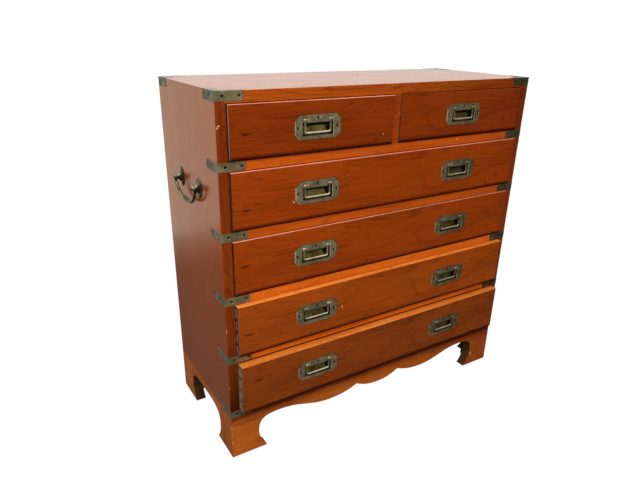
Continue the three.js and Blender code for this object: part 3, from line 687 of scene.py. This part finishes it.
ledger_foot = base_height - ledger_size
inner_xs = (block_size - inner_half, inner_half - block_size)
blocks = [planed_block(inner_xs, (inner_front, inner_front + ledger_size), ledger_foot)]
for side in (-1, 1):
    xs = (side * inner_half, side * (inner_half - block_size))
    for y in (inner_front, inner_rear - block_size):
        blocks.append(planed_block(xs, (y, y + block_size), block_lift))
    xs = (side * inner_half, side * (inner_half - ledger_size))
    blocks.append(planed_block(xs, (inner_front + block_size, inner_rear - block_size), ledger_foot))
base_blocks = joined(blocks, "base_glue_blocks")
paint(base_blocks, (sawn_material,))
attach(base_blocks, "carcase")
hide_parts("bracket_base")

# Corner straps, cut from sheet brass, folded and let in flush at the end of each rail. Each
# leg is held by two countersunk screws, and the brass has long gone dull and greenish grey.

strap_arris = 1.3 * mm
strap_screws_front = (17 * mm, 53 * mm)
strap_screws_side = (27 * mm, 54 * mm)
screw_radius = 3.3 * mm
screw_depth = 0.75 * mm
head_height = 1.0 * mm
rim_width, rim_rise = 0.7 * mm, 0.3 * mm
crown_width, crown_rise = 1.2 * mm, 0.15 * mm
slot_width, slot_depth = 0.8 * mm, 0.65 * mm
sink_radius = 3.9 * mm
sink_depth = 1.9 * mm
sink_over = 0.3 * mm
film_patch = 22 * mm
grime_patch = 4 * mm
scuff_size = 1.2 * mm


def aged_brass(name, bright, body, shade, roughness, metallic=0.55):
    """Unlacquered brass: a dull brown-green film, thinner where hands and cloths rub it."""
    material, add, place = new_material(name)
    film = add("TexNoise", {
        "Vector": place, "Scale": 1 / film_patch, "Detail": 3.0, "Roughness": 0.55})
    grime = add("TexNoise", {"Vector": place, "Scale": 1 / grime_patch, "Detail": 2.0})
    tone = add("Math", (grime, 0.35, film), operation="MULTIPLY_ADD")
    colour = add("ValToRGB", (tone,), stops=[(0.42, shade), (0.68, body), (0.98, bright)])
    # Painted shade: the brass darkens towards the right
    colour = painted_shade_along(add, place, "X", colour, [
        (0.1, "ffffff"), (0.25, "d4d0c8"), (0.38, "ccc8c0"), (0.42, "a8aca4")])
    rough = add("MapRange", (tone, 0.45, 0.9, roughness + 0.12, roughness - 0.06))
    scuff = add("TexNoise", {"Vector": place, "Scale": 1 / scuff_size, "Detail": 2.0})
    relief = add("Bump", {"Height": scuff, "Strength": 0.2, "Distance": 0.1 * mm})
    shader = add("BsdfPrincipled", {
        "Base Color": colour, "Metallic": metallic, "Roughness": rough, "Normal": relief})
    add("OutputMaterial", {"Surface": shader})
    return material


def countersink(piece, spots):
    """Sinks a cone into the piece at each spot, given as a place on its face and the way it looks."""
    cut_away(piece, [primitive(
        "cone", vertices=24, radius1=0.6 * sink_radius, radius2=1.08 * sink_radius,
        depth=sink_depth + sink_over, location=place - outward * (sink_depth - sink_over) / 2,
        rotation=outward.to_track_quat("Z", "Y").to_euler()) for place, outward in spots])


# One slotted head, raised a little in the middle, which every screw copies
screw_head = primitive("cylinder", vertices=24, radius=screw_radius, depth=head_height)
head_top = head_height / 2 + rim_rise + crown_rise
bpy.ops.object.mode_set(mode="EDIT")
bpy.ops.mesh.select_all(action="DESELECT")
shape = bmesh.from_edit_mesh(screw_head.data)
for face in shape.faces:
    face.select = face.normal.z > 0.9
bmesh.update_edit_mesh(screw_head.data)
bpy.ops.mesh.inset(thickness=rim_width, depth=rim_rise)
bpy.ops.mesh.inset(thickness=crown_width, depth=crown_rise)
bpy.ops.object.mode_set(mode="OBJECT")
cut_away(screw_head, [primitive(
    "cube", size=1, location=(0, 0, head_top - slot_depth + overrun / 2),
    scale=(slot_width, 2.4 * screw_radius, overrun))])
screw_head.data.transform(Matrix.Translation((0, 0, -head_top)))

# Brass screws that nobody has cleaned: almost black, a faint gleam on the crown
screw_brass = aged_brass("screw_dark_brass", "5c5038", "2e2616", "140f08", 0.4)
turns = random.Random(7)


def screws_at(name, spots, body):
    """A slotted screw at each spot, each turned as it happened to end up."""
    heads = []
    for place, outward in spots:
        head = new_object(name, screw_head.data.copy())
        head.data.transform(
            Matrix.Translation(place - outward * screw_depth)
            @ outward.to_track_quat("Z", "Y").to_matrix().to_4x4()
            @ Matrix.Rotation(turns.uniform(0, math.pi), 4, "Z"))
        heads.append(head)
    screws = joined(heads, name)
    paint(screws, (screw_brass,))
    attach(screws, body)


def screw_down(strap, side, into, name):
    """Rounds the fold of a strap, takes the sharpness off its other edges and screws it down.

    into is 1 for a strap that is folded round the front of the chest and -1 at the rear.
    """
    low, high = (Vector([pick(v.co[axis] for v in strap.data.vertices) for axis in range(3)])
                 for pick in (min, max))
    outer = low.x if side < 0 else high.x
    face_y, edge_y = (low.y, carcase_front) if into > 0 else (high.y, carcase_rear)
    middle = (low.z + high.z) / 2
    ease(strap, strap_arris, lambda edge: 1.0 if all(
        near(v.co.x, outer) and near(v.co.y, face_y) for v in edge.verts) else 0.25)
    spots = [(Vector((side * (base_half - inset), face_y, middle)), Vector((0, -into, 0)))
             for inset in strap_screws_front]
    spots += [(Vector((outer, edge_y + into * inset, middle)), Vector((side, 0, 0)))
              for inset in strap_screws_side]
    countersink(strap, spots)
    screws_at(name, spots, "carcase")


# Brass left to itself: a dull green-brown in front, greyer where it looks sideways or up
strap_brass = aged_brass("strap_aged_brass", "a89a72", "7f7352", "584c34", 0.42)
dull_brass = aged_brass("strap_side_dull_brass", "84867c", "62645a", "3e403a", 0.52)
for side_name, side in sides:
    for level in range(1, 7):
        node = f"corner_strap_{side_name}_{level}"
        strap = copy_of(node, f"strap_{side_name}_{level}")
        screw_down(strap, side, 1, f"strap_screws_{side_name}_{level}")
        paint(strap, (strap_brass, dull_brass), lambda face: int(
            face.normal.x * side > 0.5 or face.normal.z > 0.5))
        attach(strap, "carcase")
        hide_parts(node)

# Rear top corners. The same folded brass binds the top at the back, let into the side, the top
# and its rear edge, and the wood has shrunk from the end of its side leg.

seat_gap = 0.3 * mm
for side_name, side in sides:
    cap = copy_of(f"corner_strap_{side_name}_1", f"rear_cap_{side_name}")
    front_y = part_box(f"corner_strap_{side_name}_1")[0].y
    cap.data.transform(
        Matrix.Translation((0, carcase_rear + front_y, 0)) @ Matrix.Scale(-1, 4, (0, 1, 0)))
    in_edit_mode(cap, face_outward)
    for board in (side_boards[side_name], top):
        seat = new_object("seat", cap.data.copy())
        in_edit_mode(seat, lambda: bpy.ops.transform.shrink_fatten(value=seat_gap))
        cut_away(board, [seat])
    screw_down(cap, side, -1, f"rear_cap_screws_{side_name}")
    paint(cap, (dull_brass,))
    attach(cap, "carcase")

# Drawers. The fronts are veneered with leaves cut one after another, so the same knot and arcs
# come again down the chest; their edges show the paler board, and the sides behind are bare,
# their tails let into the front.

# For each drawer: shade, body and light of its leaf, the knot's place and the knocks on it; the
# two top leaves and the bottom one are painted darker than the rest, as shade
drawer_leaves = {
    "top_left": (("501b02", "762b04", "8a3606"), (-0.3957, 0.8174), [(-0.0413, 0.7905, 1.6, 1.0)]),
    "top_right": (("501a03", "782c05", "8c3708"), None, []),
    "second": (("5a2003", "893405", "9c4007"), (-0.3983, 0.6557), [
        (-0.2827, 0.6578, 3.4, 0.9), (-0.2852, 0.6602, 0.8, 1.4)]),
    "third": (("5a2003", "8b3605", "a04207"), (-0.4062, 0.5256), []),
    "fourth": (("602604", "923f08", "a84e0d"), (-0.4060, 0.3560), [(-0.1454, 0.3629, 1.3, 4.6)]),
    "bottom": (("501f05", "80380b", "94470f"), (-0.3900, 0.2300), [])}
front_arris = 1.3 * mm
lower_arris = 4.5 * mm
leaf_start = 50 * mm
painted_shade_to = 4 * mm
painted_shade_fades_by = 11 * mm

# Thin boards, planed and left bare: grey-brown and dusty, grain along each board
box_material = bare_wood(
    "drawer_box_bare_wood", ("5e4a34", "80684a", "967e5e"), "length", (0.2, 0.6, 0.4), 0.05, 0.9)

# Edges of solid cherry, lacquered but hardly stained: orange, and paler on the lower drawers as
# painted light, where their tops stand out further into the light
upper_edge = lacquered_cherry(
    "drawer_edge_polished", ("984410", "bc5c1a", "d07430"), "X", (0.05, 0.2, 0.6), 0.35)
lit_edge = lacquered_cherry(
    "drawer_edge_painted_light", ("a85216", "d0742a", "e08c40"), "X", (0.05, 0.2, 0.6), 0.35)

# Painted highlights: the top arrises in a shiny pink-brown for the pale line that the lamp draws
# along them, and the end arrises in a mauve grey for the light that they mirror
arris_highlight = lacquered_cherry(
    "drawer_arris_painted_highlight", ("945444", "b47464", "c89080"), "X", (0.05, 0.2, 0.6), 0.25, 0.4)
end_arris_highlight = lacquered_cherry(
    "drawer_end_arris_painted_highlight", ("4c302c", "684a48", "80605c"), "Z", (0.05, 0.2, 0.6), 0.3, 0.3)

# Painted shade under the lower arris and on the faces that look down: nearly black
shaded_under_arris = lacquered_cherry(
    "drawer_under_arris_painted_shade", ("260a03", "401404", "561c06"), "X", (0.05, 0.2, 0.6), 0.4)

# End grain has drunk dust and polish: grey-brown on the drawer left open; the ends of the
# others are painted darker, as shade
end_grain = bare_wood("drawer_end_grain", ("3c2e26", "5a473e", "786258"), "Z", (0.3, 0.5, 0.2))
shaded_end_grain = bare_wood("drawer_end_grain_painted_shade", ("22120a", "381c10", "4c2c1c"), "Z", (0.3, 0.5, 0.2))


for name, (colours, knot, knocks) in drawer_leaves.items():
    low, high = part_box(f"drawer_front_{name}")
    # Painted shade darkens each front towards its lower edge, under the drawer
    veneer = lacquered_cherry(
        f"drawer_cherry_veneer_{name}", colours, "X", (-leaf_start, -low.y, -low.z), 0.26, contrast=0.8,
        eye=knot and (knot[0] - leaf_start, 0.0, knot[1] - low.z), knocks=knocks, front=low.y,
        shade_stops=[("Z", [(low.z + painted_shade_to, "4c2c22"), (low.z + painted_shade_fades_by, "ffffff")])])
    board = copy_of(f"drawer_front_{name}", f"drawer_face_{name}")
    cut_flat(board, (low.x, low.y + front_arris, 0), (-1, -1, 0))
    cut_flat(board, (high.x, low.y + front_arris, 0), (1, -1, 0))
    cut_flat(board, (0, low.y + front_arris, high.z), (0, -1, 1))
    centre = Vector((0, low.y + lower_arris, low.z + lower_arris))
    for turn in (20, 45, 70):
        downward = Vector((0, -math.cos(math.radians(turn)), -math.sin(math.radians(turn))))
        cut_flat(board, centre + lower_arris * downward, downward)
    edge = lit_edge if name in ("fourth", "bottom") else upper_edge
    end = end_grain if name == "bottom" else shaded_end_grain

    # The arrises carry a painted highlight on some drawers and show the board or its end on others;
    # the ends of most drawers and the faces that look down take painted shade
    along_top = {"top_right": 0, "fourth": 1, "bottom": 1}.get(name, 3)
    at_ends = 4 if name in ("top_left", "fourth") else 2
    paint(board, (veneer, edge, end, arris_highlight, end_arris_highlight, shaded_under_arris), lambda face: (
        5 if face.normal.z < -0.4 else 0 if face.normal.y < -0.85
        else (at_ends if abs(face.normal.x) > 0.4 else along_top) if face.normal.y < -0.5
        else 2 if abs(face.normal.x) > 0.9 else 1))
    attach(board, f"drawer_{name}")
    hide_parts(f"drawer_front_{name}")
    paint(nodes[f"drawer_box_{name}"], (box_material,))

# Flush pulls. A brass plate with its corners cut off is let into the drawer over a pressed cup
# and held by three screws; the bail turns on pins through two rounded knuckles.

plate_arris = 1.0 * mm
plate_screws = ((0, 20 * mm), (-50.5 * mm, 0), (50.5 * mm, 0))
cup_below = 2.6 * mm
knuckle_radius = 5.2 * mm
knuckle_length = 11.7 * mm
knuckle_place = 32.75 * mm
knuckle_round = 2.2 * mm
pin_radius, pin_length, pin_shift = 1.3 * mm, 9 * mm, 4.5 * mm
bail_bar = 4.5 * mm
bail_corner = 4.5 * mm
bail_low = 12.1 * mm
shade_line_height = 1 * mm
shade_line_reach = 24 * mm
rubbed_height = 4 * mm

# The plate is wiped with the drawer and stays a dull khaki; the cup holds a greenish film.
# Painted shade, nearly black, covers the cup's walls and floor, its upper back and far end, the
# plate's edges and its countersinks; fingers keep the bar of the bail bright, and the plate's rim
# and the countersinks' left-facing walls carry a painted highlight
plate_brass = aged_brass("pull_plate_brass", "a89e7a", "82785a", "5e563e", 0.4)
cup_brass = aged_brass("pull_cup_dark_brass", "968850", "6e6230", "40361a", 0.5, 0.4)
painted_shade_brass = aged_brass("pull_painted_shade_brass", "3a3018", "241c0e", "120e06", 0.5, 0.4)
rubbed_and_highlight_brass = aged_brass("bail_rubbed_brass_and_painted_highlight", "d0c6a8", "b8ae90", "8e8468", 0.34, 0.5)
for joint_name in [name for name in joints if name.startswith("hinge_")]:
    name = joint_name[len("hinge_"):]
    low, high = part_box(f"pull_plate_{name}")
    drawer = joints[joint_name]["parent"]
    centre = Vector(((low.x + high.x) / 2, low.y, (low.z + high.z) / 2))
    plate = copy_of(f"pull_plate_{name}", f"plate_{name}")
    ease(plate, plate_arris, lambda edge: all(near(v.co.y, low.y) for v in edge.verts), 1)
    cut_flat(plate, (0, 0, centre.z + shade_line_height), (0, 0, 1), take_off=False)
    cut_flat(plate, (centre.x + shade_line_reach, 0, centre.z), (1, 0, 0.5), take_off=False)
    spots = [(centre + Vector((x, 0, z)), Vector((0, -1, 0))) for x, z in plate_screws]
    countersink(plate, spots)
    # Painted shade on the cup's walls, upper back and far end, the plate's edges and countersinks; a
    # painted highlight on the rim and the countersink walls that look left
    paint(plate, (plate_brass, cup_brass, painted_shade_brass, rubbed_and_highlight_brass), lambda face: (
        (1 if face.center.z < centre.z + shade_line_height and face.normal.y < -0.5
         and face.center.x - centre.x < shade_line_reach - 0.5 * (face.center.z - centre.z) else 2)
        if face.center.y > low.y + cup_below else 0 if face.normal.y < -0.9
        else 3 if face.normal.x < -0.3 and abs(face.normal.y + 0.7) < 0.2 and face.normal.z < 0.3
        else 2))
    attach(plate, drawer)
    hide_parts(f"pull_plate_{name}")
    screws_at(f"pull_screws_{name}", spots, drawer)

    # The bail is one bar: down an arm, round a corner, along, and up again
    hinge = Vector(joints[joint_name]["pos_m"])
    arm_y = low.y + bail_bar / 2
    bar_z = centre.z - bail_low
    bail = primitive(
        "circle", vertices=16, radius=bail_bar / 2, fill_type="NGON",
        location=(centre.x - knuckle_place, arm_y, hinge.z))
    bpy.ops.object.mode_set(mode="EDIT")
    bpy.ops.mesh.select_all(action="SELECT")
    fall = hinge.z - bar_z - bail_corner
    reach = knuckle_place - bail_corner
    for run, end in (((0, 0, -fall), -1), ((2 * reach, 0, 0), 1)):
        bpy.ops.mesh.extrude_region_move(TRANSFORM_OT_translate={"value": run})
        bpy.ops.mesh.spin(steps=6, angle=math.pi / 2, axis=(0, 1, 0), center=(
            centre.x + end * reach, arm_y, bar_z + bail_corner))
    bpy.ops.mesh.extrude_region_move(TRANSFORM_OT_translate={"value": (0, 0, fall)})
    bpy.ops.object.mode_set(mode="OBJECT")
    in_edit_mode(bail, weld, face_outward)
    parts = [bail]
    for side in (-1, 1):
        knuckle = primitive(
            "cylinder", vertices=32, radius=knuckle_radius,
            depth=knuckle_length, rotation=(0, math.pi / 2, 0),
            location=(centre.x + side * knuckle_place, hinge.y, hinge.z))
        ease(knuckle, knuckle_round, lambda edge: True, 4)
        parts += [knuckle, primitive(
            "cylinder", vertices=12, radius=pin_radius, depth=pin_length,
            rotation=(0, math.pi / 2, 0),
            location=(centre.x + side * (knuckle_place + pin_shift), hinge.y, hinge.z))]
    bail = joined(parts, f"bail_{name}")
    bpy.ops.object.shade_smooth_by_angle(angle=math.radians(50))
    paint(bail, (rubbed_and_highlight_brass, plate_brass), lambda face: int(face.center.z > bar_z + rubbed_height))
    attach(bail, joints[joint_name]["child"])
    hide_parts(f"pull_bail_{name}")

# Lifting handles. Turned posts stand on domed oval rosettes, bolted through the sides, and a
# cast bail swings between them on pins, thick in the grip and thin in the necks.

rosette_height = 48 * mm
rosette_width = 37 * mm
post_reach = 14.5 * mm
eye_radius = 6.4 * mm
neck_radius = 2.9 * mm
grip_radius = 4.6 * mm
bail_fall = 41 * mm
grip_stand = 12 * mm
post_spread = 59 * mm
eye_gap = 0.3 * mm
pivot_radius = 2.2 * mm
ear_half = Vector((6.2, 3.2, 9.0)) * mm
ear_fall = 3.6 * mm
ear_inset = 1.6 * mm
ear_taper = 0.3

# Radius and height of each turned shape, from its foot to its tip, in millimetres
rosette_profile = ((24, 0), (24, 1.1), (23.3, 1.7), (19, 2.6), (14, 3.4), (9.5, 4.2), (0, 4.5))
post_profile = ((13.5, 3.0), (11.0, 4.9), (8.6, 6.8), (7.0, 8.8), (6.1, 10.8), (6.0, 12.4),
                (6.4, 14.5), (5.8, 17.2), (4.2, 19.4), (2.1, 20.6), (0, 20.9))

# The bail's line, from one hinge along the side and down: shares of its reach and of its fall
half_line = ((1.0, 0.0), (0.985, 0.13), (0.93, 0.32), (0.84, 0.53), (0.72, 0.72), (0.56, 0.87),
             (0.36, 0.96), (0.14, 1.0))

# Cast brass gone dark, with a hard shine left: small bright lights on nearly black metal
handle_brass = aged_brass("handle_dark_brass", "98948a", "48453e", "100f0e", 0.24, 0.85)


def close_ends():
    """Fills the open rims of a turned shape."""
    bpy.ops.mesh.select_all(action="DESELECT")
    bpy.ops.mesh.select_non_manifold()
    bpy.ops.mesh.edge_face_add()


def turned(name, profile, steps):
    """A shape turned on a lathe, standing on the origin along X."""
    mesh = bpy.data.meshes.new(name)
    rim = [Vector((height * mm, 0, radius * mm)) for radius, height in profile]
    mesh.from_pydata(rim, [(i, i + 1) for i in range(len(rim) - 1)], [])
    piece = new_object(name, mesh)
    in_edit_mode(piece, lambda: bpy.ops.mesh.spin(
        steps=steps, angle=2 * math.pi, center=(0, 0, 0), axis=(1, 0, 0)),
        weld, close_ends, face_outward)
    return piece


rosette_shape = turned("rosette_shape", rosette_profile, 48)
post_shape = turned("post_shape", post_profile, 32)
for side_name, side in sides:
    hinge = Vector(joints[f"handle_{side_name}"]["pos_m"])
    face_x = side * base_half
    for end_name, end in (("front", -1), ("rear", 1)):
        parts = []
        for shape, squeeze in ((rosette_shape, rosette_width / rosette_height), (post_shape, 1.0)):
            part = new_object(shape.name, shape.data.copy())
            part.data.transform(
                Matrix.Translation((face_x, hinge.y + end * post_spread, hinge.z))
                @ Matrix.Diagonal((side, squeeze, 1, 1)))
            if side < 0:
                part.data.flip_normals()
            parts.append(part)
        post = joined(parts, f"post_{side_name}_{end_name}")
        bpy.ops.object.shade_smooth_by_angle(angle=math.radians(40))
        paint(post, (handle_brass,))
        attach(post, "carcase")
        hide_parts(f"handle_post_{side_name}_{end_name}")

    # The bail runs down from one hinge and up again to the other, thick in the middle and at
    # its eyes
    arm_reach = post_spread + eye_radius + neck_radius + eye_gap
    stops = [(-reach, fall) for reach, fall in half_line]
    stops += [(reach, fall) for reach, fall in half_line[::-1]]
    path = bpy.data.curves.new(f"side_bail_{side_name}", "CURVE")
    path.dimensions = "3D"
    path.bevel_depth = 1.0
    path.bevel_resolution = 6
    path.resolution_u = 6
    path.use_fill_caps = True
    spline = path.splines.new("BEZIER")
    spline.bezier_points.add(len(stops) - 1)
    for knot, (reach, fall) in zip(spline.bezier_points, stops):
        stand = post_reach + (grip_stand - post_reach) * fall
        knot.co = (face_x + side * stand, hinge.y + reach * arm_reach, hinge.z - fall * bail_fall)
        knot.handle_left_type = knot.handle_right_type = "AUTO"
        swell = max((1 - abs(reach)) ** 0.8, 1 - 6 * fall)
        knot.radius = neck_radius + (grip_radius - neck_radius) * swell
    grip = new_object(f"side_bail_{side_name}_grip", path)
    only(grip)
    bpy.ops.object.convert(target="MESH")
    in_edit_mode(grip, weld)
    parts = [grip]
    for end in (-1, 1):
        ear = primitive("uv_sphere", segments=24, ring_count=12, radius=1.0)
        for vertex in ear.data.vertices:
            vertex.co.x *= 1 - ear_taper + ear_taper * vertex.co.z
        ear.data.transform(Matrix.Translation((
            hinge.x - side * ear_inset, hinge.y + end * arm_reach, hinge.z - ear_fall))
            @ Matrix.Diagonal((*ear_half, 1)))
        parts += [ear, primitive(
            "cylinder", vertices=16, radius=pivot_radius,
            depth=2 * (eye_radius + neck_radius), rotation=(math.pi / 2, 0, 0),
            location=(hinge.x, hinge.y + end * (arm_reach - eye_radius), hinge.z))]
    swing = joined(parts, f"lifting_bail_{side_name}")
    bpy.ops.object.shade_smooth_by_angle(angle=math.radians(50))
    paint(swing, (handle_brass,))
    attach(swing, f"side_handle_{side_name}")
    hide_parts(f"side_bail_{side_name}")
for shape in (rosette_shape, post_shape, screw_head):
    bpy.data.objects.remove(shape)

# Floor, light and camera. A white floor that keeps a faint shadow, soft lamps in front, above
# and to the left, and a pale room behind, which the polish mirrors at a low angle; what stands
# in front of the chest is dim.

floor_size = 14
floor_drop = 0.1 * mm
wall_distance = 1.45
floor = primitive("plane", size=floor_size,
                  location=(0, wall_distance - floor_size / 2, -floor_drop))
floor.name = "floor"

# White paper: plain white to the camera but for the shadow; to polish it is dim in front, and
# lighter by the wall and under the window on the left
floor_material, add, place = new_material("floor_white")
floor_material.cycles.emission_sampling = "NONE"
rays = add("LightPath")
paper = add("BsdfDiffuse", {"Color": linear("b8b4b0")})
seen = add("Emission", {"Color": (1, 1, 1, 1), "Strength": 1.06})
where = add("SeparateXYZ", (place,))
lit_part = add("MapRange", (where.outputs["Y"], -0.5, 0.1, 0.05, 0.2))
by_wall = add("MapRange", (where.outputs["Y"], 1.0, 1.45, 0.0, 0.4), interpolation_type="SMOOTHSTEP")
beside = add("MapRange", (where.outputs["X"], -0.8, -1.5, 0.0, 0.8))
before = add("MapRange", (where.outputs["Y"], -0.1, -0.5, 0.0, 1.0))
window_part = add("Math", (beside, before, lit_part), operation="MULTIPLY_ADD")
floor_glow = summed(add, window_part, by_wall)
mirrored = add("Emission", {"Color": linear("e0c8b4"), "Strength": floor_glow})
share = add("Math", (rays.outputs["Is Camera Ray"], 0.93), operation="MULTIPLY")
for_camera = add("MixShader", (share, paper, seen))
whole = add("MixShader", (rays.outputs["Is Glossy Ray"], for_camera, mirrored))
add("OutputMaterial", {"Surface": whole})
paint(floor, (floor_material,))

# The room: even grey light, which polish sees as a pale wall behind under a bright ceiling
world = bpy.data.worlds.new("studio")
bpy.context.scene.world = world
world.use_nodes = True
world.cycles.sampling_method = "NONE"
world.node_tree.nodes.clear()
add = functools.partial(add_node, world.node_tree)
rays = add("LightPath")
room = add("Background", {"Color": (1, 1, 1, 1), "Strength": 0.46})
white = add("Background", {"Color": (1, 1, 1, 1), "Strength": 1.0})
way = add("SeparateXYZ", (add("TexCoord").outputs["Generated"],))
wall = add("MapRange", (way.outputs["Y"], 0.0, 0.45, 0.06, 0.87))
ceiling = add("MapRange", (way.outputs["Z"], 0.35, 0.7, 0.0, 4.0))
window_side = add("MapRange", (way.outputs["X"], 0.35, 0.75, 1.0, 0.12))
overhead = add("Math", (ceiling, window_side), operation="MULTIPLY")
room_glow = summed(add, wall, overhead)
to_right = add("MapRange", (way.outputs["X"], -0.2, 0.2, 0.0, 1.0))
tint = add("Mix", (to_right, linear("f2e4cc"), linear("fff6ee")), data_type="RGBA")
pale = add("Background", {"Color": tint, "Strength": room_glow})
not_glossy = add("MixShader", (rays.outputs["Is Camera Ray"], room, white))
whole = add("MixShader", (rays.outputs["Is Glossy Ray"], not_glossy, pale))
add("OutputWorld", {"Surface": whole})


def soft_light(name, place, aim, width, height, power):
    """A panel of even light, turned to face its aim, which polish and metal don't mirror."""
    bpy.ops.object.light_add(type="AREA", location=place)
    lamp = bpy.context.active_object
    lamp.name = name
    lamp.data.shape = "RECTANGLE"
    lamp.data.size = width
    lamp.data.size_y = height
    lamp.data.energy = power
    lamp.visible_glossy = False
    lamp.rotation_euler = (Vector(aim) - Vector(place)).to_track_quat("-Z", "Y").to_euler()


soft_light("lamp_front", (-0.5, -1.2, 1.4), (-0.15, -0.17, 0.5), 0.6, 0.45, 11)
soft_light("lamp_above", (-0.25, -0.55, 2.4), (-0.05, -0.1, 0.4), 1.8, 1.2, 23)
soft_light("lamp_left", (-2.4, -0.5, 1.3), (-0.4, 0.0, 0.45), 1.6, 1.4, 22)

# The camera stands as the fit to the photograph's corners, rails and feet places it
camera_data = bpy.data.cameras.new("photo_camera")
camera = new_object("photo_camera", camera_data)
right = Vector((0.85433, -0.51947, 0.01641))
down = Vector((-0.18768, -0.33780, -0.92232))
ahead = Vector((0.48466, 0.78488, -0.38609))
camera_place = Vector((-0.84971, carcase_front - 1.01175, 1.01754))
camera.matrix_world = Matrix.Translation(camera_place) @ Matrix(
    (right, -down, -ahead)).transposed().to_4x4()
camera_data.lens = 30.247
camera_data.sensor_width = 36
camera_data.shift_x = 0.00966
camera_data.shift_y = 0.02127
bpy.context.scene.camera = camera
bpy.context.scene.view_settings.view_transform = "Standard"
